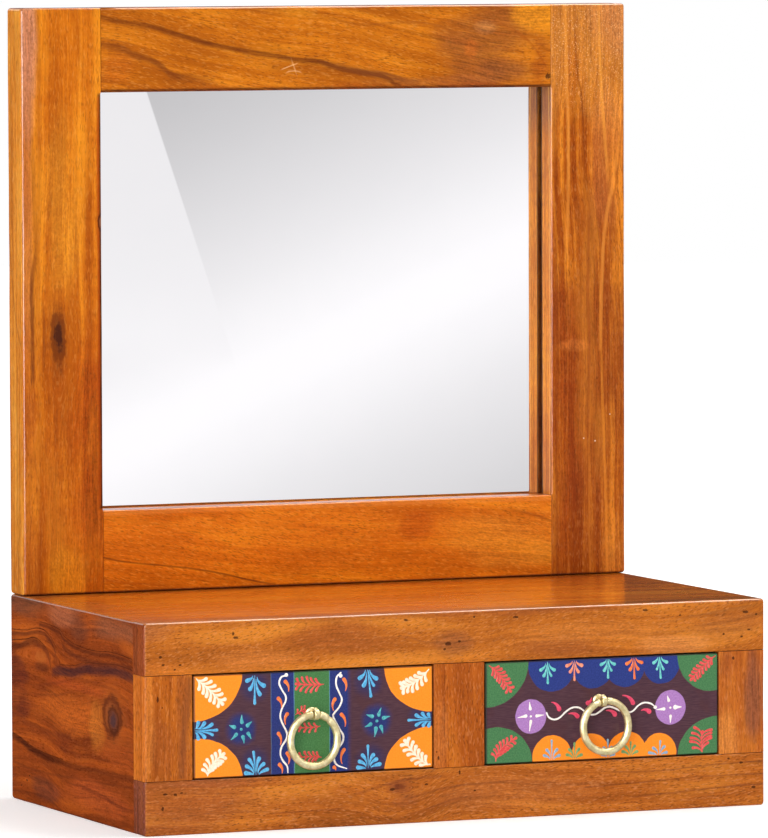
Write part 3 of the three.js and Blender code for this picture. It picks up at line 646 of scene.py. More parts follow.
        q = t.add(t.math("POWER", t.mul(t.sub(u, pu), 1.0 / ru), 2.0), t.math("POWER", t.mul(t.sub(v, pv), 1.0 / rv), 2.0))
        q = t.add(q, t.madd(t.noise(t.xyz(t.mul(u, 0.6), t.mul(v, 0.6), 0.0), 1.0, 1.0), 1.6, -0.8))
        one = t.step(1.1, 0.35, q)
        pit_mask = one if pit_mask is None else t.math("MAXIMUM", pit_mask, one)
    if pit_mask is not None:
        col = t.mix(t.mul(pit_mask, 0.8), col, srgb(52, 24, 14))
    # painted glints: pale specks standing in for light sparkling on pores in the lacquer
    if glint_specks:
        (au, av), (ru, rv), k = glint_specks
        q = t.add(t.math("POWER", t.mul(t.sub(u, au), 1.0 / ru), 2.0), t.math("POWER", t.mul(t.sub(v, av), 1.0 / rv), 2.0))
        sp = t.noise(t.xyz(t.mul(u, 1.0), t.mul(v, 1.0), t.mul(d, 1.0)), 1.15, 1.0)
        f = t.mul(t.mul(t.step(0.60, 0.74, sp), t.step(1.2, 0.3, q)), k)
        col = t.mix(f, col, srgb(240, 186, 124))

    if joint_shade_z:  # painted shade: a dark band just above the frame's foot, standing in for the shadow in its joint on the case top
        col = t.mix(t.mul(t.step(joint_shade_z + 2.2, joint_shade_z + 0.4, X["Z"]), 0.85), col, srgb(44, 15, 10))

    bs = t.new("ShaderNodeBsdfPrincipled")
    t.put(bs.inputs["Base Color"], col)
    ro = t.madd(t.noise(t.xyz(t.mul(u, 1 / 28.0), t.mul(v, 1 / 12.0), t.mul(d, 1 / 12.0)), 1.0, 3.0, 0.6), 0.16, rough - 0.08)
    ro = t.add(ro, t.mul(pore, 0.10))
    t.put(bs.inputs["Roughness"], ro)
    bs.inputs["IOR"].default_value = 1.12
    bs.inputs["Coat Weight"].default_value = coat
    bs.inputs["Coat Roughness"].default_value = 0.14
    bs.inputs["Coat IOR"].default_value = 1.5
    hgt = t.add(t.mul(pore, -0.55), t.madd(fibre, 0.35, t.mul(ripl, 0.5)))
    if pit_mask is not None:
        hgt = t.sub(hgt, t.mul(pit_mask, 3.0))
    bump = t.new("ShaderNodeBump")
    bump.inputs["Strength"].default_value = 0.35
    bump.inputs["Distance"].default_value = 0.00012
    t.put(bump.inputs["Height"], hgt)
    t.put(bs.inputs["Normal"], bump.outputs[0])
    bump2 = t.new("ShaderNodeBump")
    bump2.inputs["Strength"].default_value = 0.2
    bump2.inputs["Distance"].default_value = 0.0004
    t.put(bump2.inputs["Height"], t.noise(t.xyz(t.mul(u, 1 / 30.0), t.mul(v, 1 / 9.0), t.mul(d, 1 / 9.0)), 1.0, 2.0, 0.6))
    t.put(bs.inputs["Coat Normal"], bump2.outputs[0])
    t.t.links.new(bs.outputs[0], t.new("ShaderNodeOutputMaterial").inputs[0])
    return m


DARK_LINE = (92, 42, 14)

stile_left_wood = wood(
    "wood_stile_left", "ZXY", (238, 150, 52), (207, 114, 30), (150, 66, 14), 1.0, slope=0.006, ring_w=11, bands=0.62, lines=0.42,
    flecks=0.42, fleck_len=5.0, cloud=0.42, ripple=0.32, warp=3.0,
    streaks=[
        {"pts": [(600, 8.0), (540, 7.0), (470, 9.3), (418, 10.6), (390, 7.4), (350, 7.8), (316, 7.5)], "w": (3.2, 2.0), "k": [(156, 0.0), (310, 0.0), (322, 0.8), (385, 0.85), (420, 0.5), (480, 0.3), (540, 0.15), (600, 0.1)], "color": (108, 48, 20)},
        {"pts": [(600, 14.0), (480, 14.8), (380, 12.8), (320, 13.5), (156, 12.0)], "w": (2.4, 4.0), "k": 0.28, "color": (128, 60, 24)},
        {"pts": [(380, 16.5), (350, 17.5), (325, 16.0)], "w": (1.6, 1.8), "k": [(325, 0.0), (338, 0.6), (365, 0.55), (380, 0.0)], "color": (120, 52, 16)},
        # painted shade: a dark line down the opening's edge, standing in for the shade where the frame meets the mirror
        {"pts": [(219, 63.6), (380, 63.6), (536, 63.6)], "w": (4.6, 3.3), "k": 0.97, "color": (44, 16, 8), "wob": 0.15},
        {"pts": [(222, 61.8), (380, 61.8), (534, 61.8)], "w": (1.4, 1.8), "k": 0.5, "color": (190, 74, 10), "wob": 0.4},
    ],
    knots=[
        {"at": (352.5, 29.2), "r": (17.0, 5.0), "amp": 6.0, "halo": 0.6, "halo_color": (132, 62, 18), "rim": 0.5, "rim_color": (84, 34, 14), "core": 0.9, "color": (60, 28, 20), "rag": 1.0},
        {"at": (438.0, 65.5), "r": (6.8, 3.6), "amp": 3.0, "halo": 0.25, "halo_color": (150, 74, 22), "rim": 0.95, "rim_color": (74, 26, 10), "core": 0.7, "color": (150, 98, 66)},
    ],
    tints=[
        {"at": (230, 55), "r": (130, 22), "color": (178, 74, 10), "k": 0.5},
        {"at": (262, 58), "r": (74, 15), "color": (140, 56, 13), "k": 0.62},
        {"at": (250, 28), "r": (70, 16), "color": (150, 68, 20), "k": 0.4},
        {"at": (172, 38), "r": (26, 16), "color": (236, 140, 30), "k": 0.5},
        {"at": (592, 4.5), "r": (96, 9.0), "color": (206, 150, 122), "k": 0.62},
        {"at": (420, 4.0), "r": (120, 5.0), "color": (172, 104, 66), "k": 0.45},
        {"at": (440, 30), "r": (90, 16), "color": (238, 150, 44), "k": 0.35},
        {"at": (300, 5), "r": (400, 7), "color": (150, 74, 34), "k": 0.35},
    ], sat=(0.95, 0.91, 0.54), deep=0.7, joint_shade_z=156.3)
top_rail_wood = wood(
    "wood_rail_top", "XZY", (232, 142, 44), (208, 116, 27), (150, 72, 14), 2.0,
    guide=[(60, 14), (90, 10), (140, -2), (200, -14), (260, -22), (305, -32), (360, -43), (400, -50), (440, -52)],
    ring_w=9, bands=0.6, lines=0.45, flecks=0.55, fleck_len=4.0, cloud=0.45, ripple=0.22, warp=2.5,
    streaks=[
        {"pts": [(64, 593.8), (82, 589.6), (105, 586.0), (122, 581.4), (140, 576.0), (160, 570.9), (185, 566.3), (208, 562.4), (227, 559.3), (241, 558.1), (260, 552.9), (278, 549.4), (296, 545.8), (306, 539.8)],
         "w": (2.0, 4.2), "k": [(64, 0.75), (90, 0.7), (122, 0.9), (150, 0.85), (170, 0.8), (200, 0.75), (235, 0.95), (275, 0.9), (304, 0.85), (312, 0.0)], "color": (98, 42, 14), "wob": 0.6, "halo": 9, "halo_k": 0.32},
        {"pts": [(240, 558.4), (262, 553.6), (280, 549.6), (300, 546.6), (318, 541.0)], "w": (3.0, 5.0), "k": [(240, 0.0), (262, 0.5), (300, 0.85), (316, 0.6), (328, 0.0)], "color": (120, 62, 28), "wob": 0.8},
        {"pts": [(66, 572.4), (79, 570.2), (91, 565.0), (105, 560.6), (115, 554.7), (122, 549.4), (138, 547.0), (160, 543.0)],
         "w": (3.0, 5.6), "k": [(66, 0.6), (80, 0.7), (100, 0.75), (118, 0.85), (138, 0.5), (160, 0.0)], "color": (112, 52, 18), "wob": 1.2, "halo": 8, "halo_k": 0.3},
        {"pts": [(66, 577.0), (80, 574.5), (96, 571.0)], "w": (0.8, 1.6), "k": [(66, 0.5), (84, 0.45), (96, 0.0)], "color": (130, 66, 24), "wob": 0.4},
        {"pts": [(211, 551.5), (218, 554.0), (226, 556.5)], "w": (0.7, 0.7), "k": 0.6, "color": (246, 190, 124), "wob": 0.5},
        {"pts": [(215, 548.0), (221, 550.5), (229, 549.0)], "w": (0.7, 0.7), "k": 0.5, "color": (246, 190, 124), "wob": 0.5},
        {"pts": [(219.5, 560.0), (222.5, 553.0), (225.0, 546.0)], "w": (2.4, 2.4), "k": 0.4, "color": (246, 190, 124), "wob": 0.5},
        {"pts": [(250, 592.0), (284, 585.8), (308, 587.3), (335, 586.2), (354, 580.2), (368, 573.0)], "w": (0.9, 2.6), "k": [(250, 0.0), (280, 0.4), (335, 0.5), (354, 0.45), (368, 0.2)], "color": (138, 72, 24), "wob": 0.8},
        # painted shade: a dark line along the opening's top edge, standing in for the shade where the rail meets the
        # mirror
        {"pts": [(50, 536.7), (250, 536.7), (450, 536.7)], "w": (2.2, 3.0), "k": 0.9, "color": (58, 24, 12), "wob": 0.15},
        {"pts": [(380, 590), (400, 583), (416, 574), (428, 560), (434, 550)], "w": (1.2, 3.0), "k": [(380, 0.0), (402, 0.35), (424, 0.5), (434, 0.4)], "color": (150, 66, 16), "wob": 0.8},
    ],
    tints=[
        {"at": (78, 556), "r": (15, 14), "color": (176, 84, 24), "k": 0.42},
        {"at": (392, 568), "r": (48, 32), "color": (134, 72, 34), "k": 0.8},
        {"at": (398, 552), "r": (20, 12), "color": (130, 72, 40), "k": 0.55},
        {"at": (382, 582), "r": (11, 6), "color": (190, 140, 92), "k": 0.3},
        {"at": (370, 566), "r": (6, 7), "color": (196, 96, 30), "k": 0.4},
        {"at": (428, 558), "r": (10, 22), "color": (146, 62, 18), "k": 0.85},
        {"at": (426, 592), "r": (22, 18), "color": (234, 136, 28), "k": 0.85},
        {"at": (340, 541), "r": (60, 5), "color": (150, 84, 44), "k": 0.5},
        {"at": (250, 537), "r": (260, 3.2), "color": (150, 60, 12), "k": 0.45},
    ],
    pits=[(434.6, 544.4, 2.8, 2.5)], sat=(0.94, 0.92, 0.62), deep=0.8)
right_stile_wood = wood(
    "wood_stile_right", "ZXY", (216, 130, 52), (180, 92, 26), (132, 54, 12), 3.0, ring_w=5.5, bands=0.95, lines=0.75,
    guide=[(156, 0), (300, 0), (380, -1.5), (440, -5), (480, -8), (520, -7), (560, -4), (600, -4)],
    flecks=0.5, fleck_len=4.2, cloud=0.35, ripple=0.42, warp=2.2,
    streaks=[
        {"pts": [(600, 457), (547, 460), (527, 463.6), (502, 465.0), (470, 465.5), (430, 465)], "w": (0.8, 1.8), "k": [(430, 0.0), (470, 0.35), (505, 0.6), (545, 0.65), (600, 0.3)], "color": (120, 54, 16), "wob": 0.6},
        {"pts": [(500, 496), (460, 489.5), (417, 482.0), (370, 479.9), (330, 479)], "w": (2.0, 2.4), "k": [(330, 0.0), (370, 0.6), (440, 0.6), (500, 0.0)], "color": (232, 146, 56), "wob": 1.0},
        {"pts": [(520, 499), (470, 494), (430, 488.5), (380, 486), (330, 486)], "w": (0.9, 1.6), "k": [(330, 0.0), (400, 0.5), (480, 0.5), (520, 0.0)], "color": (140, 62, 22), "wob": 0.8},
        {"pts": [(156, 442), (250, 441.5), (330, 442.4), (440, 441.5), (500, 443)], "w": (1.4, 2.4), "k": [(156, 0.5), (300, 0.55), (420, 0.45), (500, 0.0)], "color": (118, 44, 14), "wob": 1.0},
        {"pts": [(156, 484), (220, 483), (300, 480.5), (360, 479)], "w": (1.8, 1.8), "k": [(156, 0.5), (240, 0.6), (300, 0.35), (360, 0.0)], "color": (236, 146, 44), "wob": 1.0},
        # painted shade: a near-black band in the rebate behind the lip, standing in for the shadow between the lip and
        # the mirror
        {"pts": [(200, 441.0), (380, 441.0), (550, 441.0)], "w": (9.0, 6.0), "k": 0.97, "color": (30, 9, 5), "wob": 0.1, "side": ("Y", -13.8, -13.2)},
        {"pts": [(600, 449), (540, 451), (480, 452), (400, 450)], "w": (1.6, 2.6), "k": [(400, 0.0), (440, 0.5), (540, 0.6), (600, 0.5)], "color": (238, 152, 58), "wob": 0.8},
        {"pts": [(600, 478), (540, 480), (500, 483), (460, 486)], "w": (1.4, 2.4), "k": [(460, 0.0), (500, 0.55), (560, 0.6), (600, 0.4)], "color": (240, 156, 56), "wob": 0.8},
        {"pts": [(340, 456), (280, 455), (200, 457), (156, 456)], "w": (1.6, 3.6), "k": [(156, 0.6), (300, 0.6), (340, 0.0)], "color": (124, 46, 12), "wob": 1.0},
        {"pts": [(440, 470), (380, 469), (320, 470), (260, 466)], "w": (1.0, 3.0), "k": [(260, 0.0), (300, 0.5), (400, 0.5), (440, 0.0)], "color": (132, 52, 22), "wob": 1.0},
        {"pts": [(156, 470), (240, 469), (320, 471)], "w": (1.2, 1.6), "k": [(156, 0.4), (260, 0.3), (320, 0.0)], "color": (226, 136, 40), "wob": 1.0},
    ],
    tints=[
        {"at": (580, 470), "r": (80, 70), "color": (232, 146, 62), "k": 0.5},
        {"at": (595, 492), "r": (40, 22), "color": (204, 130, 82), "k": 0.5},
        {"at": (480, 485), "r": (60, 18), "color": (206, 122, 60), "k": 0.4},
        {"at": (330, 472), "r": (150, 40), "color": (132, 62, 26), "k": 0.5},
        {"at": (300, 450), "r": (120, 13), "color": (140, 52, 12), "k": 0.42},
        {"at": (335, 455), "r": (5, 16), "color": (216, 124, 52), "k": 0.4},
        {"at": (175, 490), "r": (30, 16), "color": (222, 134, 46), "k": 0.4},
        {"at": (180, 446), "r": (34, 8), "color": (150, 60, 16), "k": 0.35},
    ],
    knots=[{"at": (zz, xx), "r": (0.75, 0.75), "amp": 0.0, "halo": 0.0, "core": 0.85, "color": (250, 226, 190)} for xx, zz in ((486.9, 280.6), (464.5, 262.5), (474.2, 260.2))],
    pits=[], glint_specks=((585, 478), (75, 70), 0.7), sat=(0.98, 0.95, 0.62), deep=0.9, joint_shade_z=156.3)
bottom_rail_wood = wood(
    "wood_rail_bottom", "XZY", (228, 134, 38), (206, 104, 22), (150, 66, 12), 4.0,
    guide=[(64, 2), (120, -4), (200, -14), (260, -18), (330, -20), (440, -30)],
    ring_w=10, bands=0.45, lines=0.32, flecks=0.5, fleck_slope=-0.16, fleck_len=3.6, cloud=0.35, ripple=0.15, warp=2.0,
    streaks=[
        {"pts": [(64, 183.6), (89, 178.6), (120, 174.9), (144, 171.4), (167, 166.5), (183, 162.4), (201, 158.8)], "w": (0.7, 1.5), "k": [(64, 0.8), (110, 0.75), (140, 0.8), (183, 0.85), (199, 0.7), (206, 0.0)], "color": (104, 44, 14), "wob": 0.35},
        {"pts": [(400, 209.5), (420, 205.0), (437, 199.2)], "w": (0.8, 2.2), "k": [(400, 0.0), (415, 0.5), (437, 0.6)], "color": (140, 62, 16), "wob": 0.5},
        # painted highlight: a lighter band along the rail's top edge, standing in for light on its rounded edge
        {"pts": [(64, 216.6), (200, 216.8), (437, 216.4)], "w": (2.6, 2.4), "k": 0.4, "color": (240, 148, 62), "wob": 0.4},
        {"pts": [(64, 167), (90, 163), (120, 160.5)], "w": (1.0, 2.0), "k": [(64, 0.5), (100, 0.4), (120, 0.0)], "color": (160, 70, 18), "wob": 0.5},
    ],
    tints=[
        {"at": (322, 197), "r": (14, 12), "color": (168, 66, 14), "k": 0.45},
        {"at": (248, 172), "r": (24, 10), "color": (226, 116, 24), "k": 0.45},
        {"at": (110, 215), "r": (90, 6), "color": (176, 76, 8), "k": 0.4},
        {"at": (400, 185), "r": (60, 22), "color": (232, 140, 44), "k": 0.5},
    ], sat=(1.05, 1.07, 0.68), joint_shade_z=156.3)

case_top_wood = wood(
    "wood_case_top", "XYZ", (222, 126, 42), (202, 100, 27), (150, 62, 18), 5.0, ring_w=13, bands=0.5, lines=0.42,
    guide=[(0, 10), (120, 4), (250, 0), (380, -6), (500, -22)], flecks=0.22, fleck_len=6, cloud=0.35, ripple=0.12, warp=8,
    rough=0.28, coat=0.9, sat=(1.12, 1.18, 0.95),
    tints=[
        {"at": (10, -140), "r": (28, 200), "color": (150, 84, 58), "k": 0.5},
        {"at": (450, -90), "r": (44, 90), "color": (150, 60, 18), "k": 0.45},
    ])
side_wood = dict(ring_w=9, bands=0.62, lines=0.42, flecks=0.35, fleck_len=5, cloud=0.4, ripple=0.2, warp=3.5)
case_left_wood = wood(
    "wood_case_left", "YZX", (206, 98, 34), (166, 74, 28), (106, 42, 22), 6.0,
    guide=[(0, 0), (-60, 3), (-130, -6), (-200, -2), (-260, -6)], deep=0.75, sat=(1.0, 1.0, 0.8),
    streaks=[
        {"pts": [(6, 117.4), (-20, 118.5), (-36, 122.0), (-52, 124.2), (-68, 121.6), (-80, 116.5), (-86, 109.0), (-88, 104.0)], "w": (3.2, 4.6), "k": 0.82, "color": (78, 34, 24), "wob": 0.8},
        {"pts": [(6, 126.0), (-34, 128.6), (-66, 132.2), (-83, 128.7), (-94, 122.4), (-99, 114.6)], "w": (1.6, 3.0), "k": 0.72, "color": (86, 38, 26), "wob": 0.8},
        {"pts": [(-62, 137.9), (-100, 136.0), (-117, 130.4), (-144, 126.4), (-182, 125.6), (-211, 127.3), (-257, 125.6)], "w": (1.6, 2.4), "k": 0.72, "color": (86, 38, 24), "wob": 0.8},
        {"pts": [(-110, 128.0), (-150, 120.0), (-190, 119.0), (-230, 121.5), (-257, 121.0)], "w": (2.4, 3.4), "k": 0.6, "color": (96, 44, 28), "wob": 0.8},
        {"pts": [(-88, 104.0), (-104, 106.6), (-130, 107.6), (-163, 112.4), (-194, 114.0), (-225, 115.9), (-257, 114.4)], "w": (5.2, 6.0), "k": [(-257, 0.8), (-225, 0.92), (-194, 0.9), (-163, 0.9), (-130, 0.95), (-104, 0.9), (-88, 0.0)], "color": (62, 38, 44), "wob": 1.2},
        {"pts": [(6, 49.8), (-19, 46.9), (-50, 41.4), (-86, 38.9), (-112, 38.2), (-166, 38.6), (-204, 39.4), (-255, 40.8)], "w": (2.6, 5.0), "k": [(-255, 0.35), (-166, 0.4), (-118, 0.6), (-100, 0.85), (-50, 0.97), (-10, 0.9), (6, 0.8)], "color": (64, 26, 18), "wob": 1.0},
        {"pts": [(-150, 24), (-193, 21.9), (-224, 17.7), (-257, 16.2)], "w": (1.4, 3.0), "k": 0.6, "color": (100, 40, 26), "wob": 0.6},
        {"pts": [(0, 30.0), (-60, 27.0), (-140, 29.0), (-257, 34.0)], "w": (0.9, 2.0), "k": 0.45, "color": (104, 44, 26), "wob": 0.8},
        {"pts": [(-60, 92), (-100, 97), (-140, 103), (-190, 104), (-235, 99), (-250, 92)], "w": (1.4, 2.6), "k": 0.5, "color": (122, 50, 24), "wob": 1.0},
        {"pts": [(-50, 84), (-100, 88), (-150, 95), (-196, 96)], "w": (1.2, 2.4), "k": 0.4, "color": (118, 50, 24), "wob": 1.2},
        {"pts": [(0, 66), (-60, 60), (-100, 58), (-130, 62)], "w": (2.2, 4.6), "k": 0.5, "color": (116, 50, 26), "wob": 1.6},
        {"pts": [(6, 120.2), (-36, 124.6), (-52, 126.9), (-68, 124.2), (-80, 119.2), (-87.5, 111), (-91, 104)], "w": (0.7, 0.9), "k": 0.8, "color": (54, 22, 16), "wob": 0.5},
        {"pts": [(6, 129.0), (-34, 131.2), (-66, 134.8), (-84, 131), (-95.5, 124.5), (-102, 114)], "w": (0.6, 0.8), "k": 0.75, "color": (60, 26, 18), "wob": 0.5},
        {"pts": [(-62, 140.0), (-100, 138.2), (-118, 132.6), (-145, 128.6), (-183, 127.8), (-212, 129.5), (-257, 127.8)], "w": (0.6, 0.8), "k": 0.75, "color": (60, 26, 18), "wob": 0.5},
        {"pts": [(-104, 111.5), (-130, 112.5), (-163, 117.5), (-194, 119.2), (-225, 121), (-257, 119.5)], "w": (0.6, 0.7), "k": 0.65, "color": (64, 28, 20), "wob": 0.6},
        {"pts": [(6, 51.5), (-19, 48.6), (-50, 43.4), (-86, 40.9), (-112, 40.4)], "w": (0.6, 0.8), "k": 0.7, "color": (48, 18, 12), "wob": 0.5},
        {"pts": [(-186, 98), (-196, 90), (-204, 78), (-206, 66), (-214, 58)], "w": (1.0, 1.6), "k": 0.0, "color": (110, 48, 24)},
    ],
    knots=[
        {"at": (-64, 113.0), "r": (15, 6.0), "amp": 5.0, "halo": 0.35, "halo_color": (190, 88, 32), "core": 0.45, "color": (206, 112, 44), "rag": 1.2},
        {"at": (-214, 82.0), "r": (17, 15.0), "amp": 8.0, "halo": 0.55, "halo_color": (196, 98, 36), "rim": 0.75, "rim_color": (96, 42, 24), "core": 0.5, "color": (158, 84, 46), "rag": 0.45},
        {"at": (-217, 79.0), "r": (9.5, 9.5), "amp": 0.0, "halo": 0.35, "halo_color": (96, 50, 34), "rim": 0.6, "rim_color": (60, 26, 18), "core": 0.9, "color": (84, 56, 58), "rag": 0.5},
    ],
    tints=[
        {"at": (-30, 151), "r": (60, 12), "color": (112, 70, 52), "k": 0.8},
        {"at": (-110, 149), "r": (40, 9), "color": (184, 110, 76), "k": 0.6},
        {"at": (-150, 143), "r": (22, 13), "color": (118, 70, 52), "k": 0.7},
        {"at": (-215, 146), "r": (60, 10), "color": (148, 90, 62), "k": 0.7},
        {"at": (-66, 106.5), "r": (17, 4.0), "color": (70, 32, 22), "k": 0.85},
        {"at": (-10, 92), "r": (30, 22), "color": (104, 44, 32), "k": 0.85},
        {"at": (-28, 78), "r": (16, 14), "color": (112, 48, 32), "k": 0.7},
        {"at": (-120, 76), "r": (70, 16), "color": (206, 102, 32), "k": 0.7},
        {"at": (-150, 98), "r": (70, 5), "color": (198, 84, 34), "k": 0.6},
        {"at": (-184, 70), "r": (16, 22), "color": (222, 126, 44), "k": 0.5},
        {"at": (-75, 14), "r": (34, 9), "color": (112, 60, 44), "k": 0.75},
        {"at": (-110, 52), "r": (26, 5), "color": (128, 54, 26), "k": 0.6},
        {"at": (-180, 18), "r": (90, 14), "color": (184, 84, 42), "k": 0.6},
        {"at": (-225, 52), "r": (50, 12), "color": (190, 88, 32), "k": 0.5},
    ],
    pits=[(-34, 17, 2.2, 0.9), (-40, 21, 1.8, 0.7), (-22, 12, 1.6, 0.7)], **side_wood)
case_right_wood = wood(
    "wood_case_right", "YZX", (206, 104, 38), (172, 80, 28), (120, 50, 22), 7.0,
    guide=[(0, 0), (-90, 4), (-170, -5), (-260, 2)],
    streaks=[
        {"pts": [(0, 60), (-60, 66), (-130, 78), (-200, 84), (-258, 82)], "w": (0.9, 3.0), "k": 0.6, "color": (98, 44, 24)},
        {"pts": [(0, 112), (-70, 108), (-150, 100), (-258, 104)], "w": (0.8, 2.4), "k": 0.45, "color": (110, 48, 24)},
        {"pts": [(0, 24), (-80, 20), (-170, 28), (-258, 24)], "w": (1.0, 3.0), "k": 0.5, "color": (104, 46, 24)},
    ],
    knots=[{"at": (-92, 44), "r": (12, 5), "amp": 5.0, "halo": 0.45, "halo_color": (196, 98, 38), "rim": 0.6, "rim_color": (96, 40, 20), "core": 0.8, "color": (92, 46, 34)}],
    **side_wood)

FACE_PITS_TOP = [(15, 125.3, 1.5, 1.0), (28.2, 124.7, 1.3, 0.9), (13, 131, 1.6, 1.1), (24, 121.5, 1.0, 0.8), (72, 143, 2.4, 1.2), (70, 146, 1.0, 1.6), (207.2, 150.8, 2.2, 1.1), (241, 132, 2.8, 1.6), (250, 133.5, 1.4, 1.0), (238, 128, 1.4, 1.0),
                 (295.6, 149.6, 2.4, 1.0), (401.2, 150.8, 2.4, 0.9), (484, 146.4, 2.8, 1.3), (493, 144.4, 1.3, 0.8), (466, 130.5, 1.2, 1.0), (481, 128.0, 1.4, 0.9), (487, 133.0, 1.5, 0.8), (430, 146.0, 1.2, 0.8), (262, 151.0, 1.0, 0.8)]
face_top_wood = wood(
    "wood_face_top", "XZY", (220, 134, 62), (192, 110, 48), (138, 72, 32), 8.0,
    guide=[(0, -4), (80, -2), (180, 1), (240, 0), (330, 5), (420, 0), (500, 12)],
    ring_w=10, bands=0.4, lines=0.34, flecks=0.6, fleck_slope=0.22, fleck_len=3.0, cloud=0.55, ripple=0.12, warp=3.0, sat=(0.96, 0.92, 0.62), deep=0.8,
    streaks=[
        {"pts": [(400, 139.0), (430, 143.0), (460, 147.5), (492, 151.0)], "w": (1.4, 2.0), "k": [(400, 0.0), (440, 0.4), (480, 0.5), (492, 0.2)], "color": (140, 86, 40), "wob": 1.0},
        {"pts": [(420, 134), (450, 138), (480, 142), (499, 146)], "w": (1.0, 2.6), "k": [(420, 0.0), (450, 0.35), (499, 0.5)], "color": (134, 78, 34), "wob": 1.0},
        {"pts": [(170, 136), (200, 139), (230, 133), (256, 134)], "w": (1.0, 2.0), "k": [(170, 0.0), (205, 0.35), (240, 0.45), (256, 0.2)], "color": (126, 70, 36), "wob": 1.0},
    ],
    tints=[
        {"at": (244, 131), "r": (18, 12), "color": (128, 72, 42), "k": 0.75},
        {"at": (8, 150), "r": (26, 8), "color": (160, 96, 60), "k": 0.5},
        {"at": (150, 140), "r": (60, 12), "color": (160, 84, 38), "k": 0.45},
        {"at": (90, 128), "r": (40, 8), "color": (214, 126, 56), "k": 0.45},
        {"at": (330, 126), "r": (40, 8), "color": (156, 84, 40), "k": 0.45},
        {"at": (470, 138), "r": (30, 14), "color": (160, 92, 44), "k": 0.45},
        {"at": (12, 118), "r": (30, 12), "color": (210, 116, 40), "k": 0.45},
        {"at": (425, 124), "r": (30, 7), "color": (222, 140, 76), "k": 0.4},
        {"at": (250, 154), "r": (300, 3), "color": (150, 76, 40), "k": 0.4},
        {"at": (350, 137), "r": (60, 9), "color": (206, 124, 52), "k": 0.35},
    ],
    pits=FACE_PITS_TOP)
FACE_PITS_LOW = [(16, 30.5, 2.2, 0.9), (24, 30.0, 1.6, 1.2), (29, 31.0, 1.4, 0.8), (14, 20.0, 1.2, 2.0), (196, 26, 2.6, 1.2), (223, 28.5, 1.6, 0.9), (250, 36, 0.8, 2.4), (262, 22, 1.2, 0.8), (480.5, 33, 1.6, 1.2), (491, 14, 2.2, 1.1), (470, 36.5, 1.2, 0.8)]
face_low_wood = wood(
    "wood_face_low", "XZY", (204, 120, 58), (174, 94, 44), (120, 60, 30), 9.0,
    guide=[(0, 4), (80, 2), (150, 4), (200, -4), (260, 8), (340, 2), (500, 4)],
    ring_w=8, bands=0.5, lines=0.42, flecks=0.7, fleck_slope=0.05, fleck_len=3.4, cloud=0.4, ripple=0.15, warp=3.0,
    streaks=[
        {"pts": [(150, 20), (175, 26), (192, 30), (210, 33), (240, 34)], "w": (1.2, 2.2), "k": [(150, 0.0), (180, 0.45), (205, 0.6), (240, 0.1)], "color": (110, 54, 30), "wob": 1.0},
        {"pts": [(202, 16), (222, 22), (245, 26), (270, 27), (310, 29)], "w": (0.9, 1.8), "k": [(202, 0.1), (230, 0.5), (270, 0.4), (310, 0.0)], "color": (112, 56, 30), "wob": 0.8},
        {"pts": [(372, 31), (410, 30), (440, 31.5), (470, 33), (500, 33.5)], "w": (0.7, 1.3), "k": 0.55, "color": (104, 52, 30), "wob": 0.8},
        {"pts": [(350, 20), (400, 22), (450, 24), (500, 24)], "w": (0.7, 1.2), "k": 0.5, "color": (108, 54, 30), "wob": 0.9},
        {"pts": [(390, 11), (440, 14), (480, 16), (500, 16)], "w": (0.7, 1.4), "k": 0.5, "color": (110, 56, 32), "wob": 0.9},
        {"pts": [(20, 12), (70, 15), (120, 13), (160, 16)], "w": (0.7, 1.3), "k": 0.45, "color": (112, 56, 30), "wob": 0.9},
        {"pts": [(206, 6), (222, 10), (250, 17), (290, 21)], "w": (0.8, 1.4), "k": [(206, 0.1), (235, 0.45), (290, 0.0)], "color": (120, 60, 32), "wob": 0.8},
    ],
    knots=[{"at": (201, 27.5), "r": (7.0, 3.4), "amp": 3.5, "halo": 0.6, "halo_color": (132, 66, 36), "core": 0.6, "color": (96, 42, 26)}],
    tints=[
        {"at": (205, 19), "r": (12, 7), "color": (138, 74, 42), "k": 0.5},
        {"at": (56, 37.5), "r": (60, 3), "color": (150, 84, 54), "k": 0.3},
        {"at": (30, 20), "r": (70, 24), "color": (150, 80, 44), "k": 0.42},
        {"at": (300, 18), "r": (60, 14), "color": (186, 108, 54), "k": 0.35},
    ],
    pits=FACE_PITS_LOW, sat=(1.03, 1.02, 0.68), deep=0.7)
post_left_wood = wood("wood_post_left", "ZXY", (218, 128, 52), (192, 104, 40), (140, 66, 26), 10.0, ring_w=8, bands=0.6, lines=0.4, flecks=0.7, fleck_len=4, cloud=0.4, ripple=0.15, warp=2,
                      tints=[{"at": (80, 31), "r": (60, 6), "color": (140, 74, 36), "k": 0.5}, {"at": (80, 2), "r": (80, 6), "color": (222, 126, 50), "k": 0.5}, {"at": (60, 14), "r": (20, 10), "color": (150, 78, 34), "k": 0.4}],
                      streaks=[{"pts": [(117, 36.5), (95, 34), (75, 31.2), (55, 29.6), (40, 29)], "w": (3.4, 4.6), "k": 0.62, "color": (122, 64, 34), "wob": 1.2}], sat=(0.95, 0.91, 0.6),
                      pits=[(100, 10.5, 2.4, 0.9), (94, 14, 0.9, 0.5)], deep=1.0)
post_centre_wood = wood("wood_post_centre", "ZXY", (206, 118, 50), (182, 95, 40), (134, 62, 28), 11.0, ring_w=6, bands=0.6, lines=0.4, flecks=0.7, fleck_len=4, cloud=0.45, ripple=0.15, warp=2,
                        tints=[{"at": (60, 235), "r": (30, 6), "color": (210, 122, 56), "k": 0.4}], pits=[(47.5, 233, 1.8, 0.9), (52, 231.5, 0.9, 0.6)])
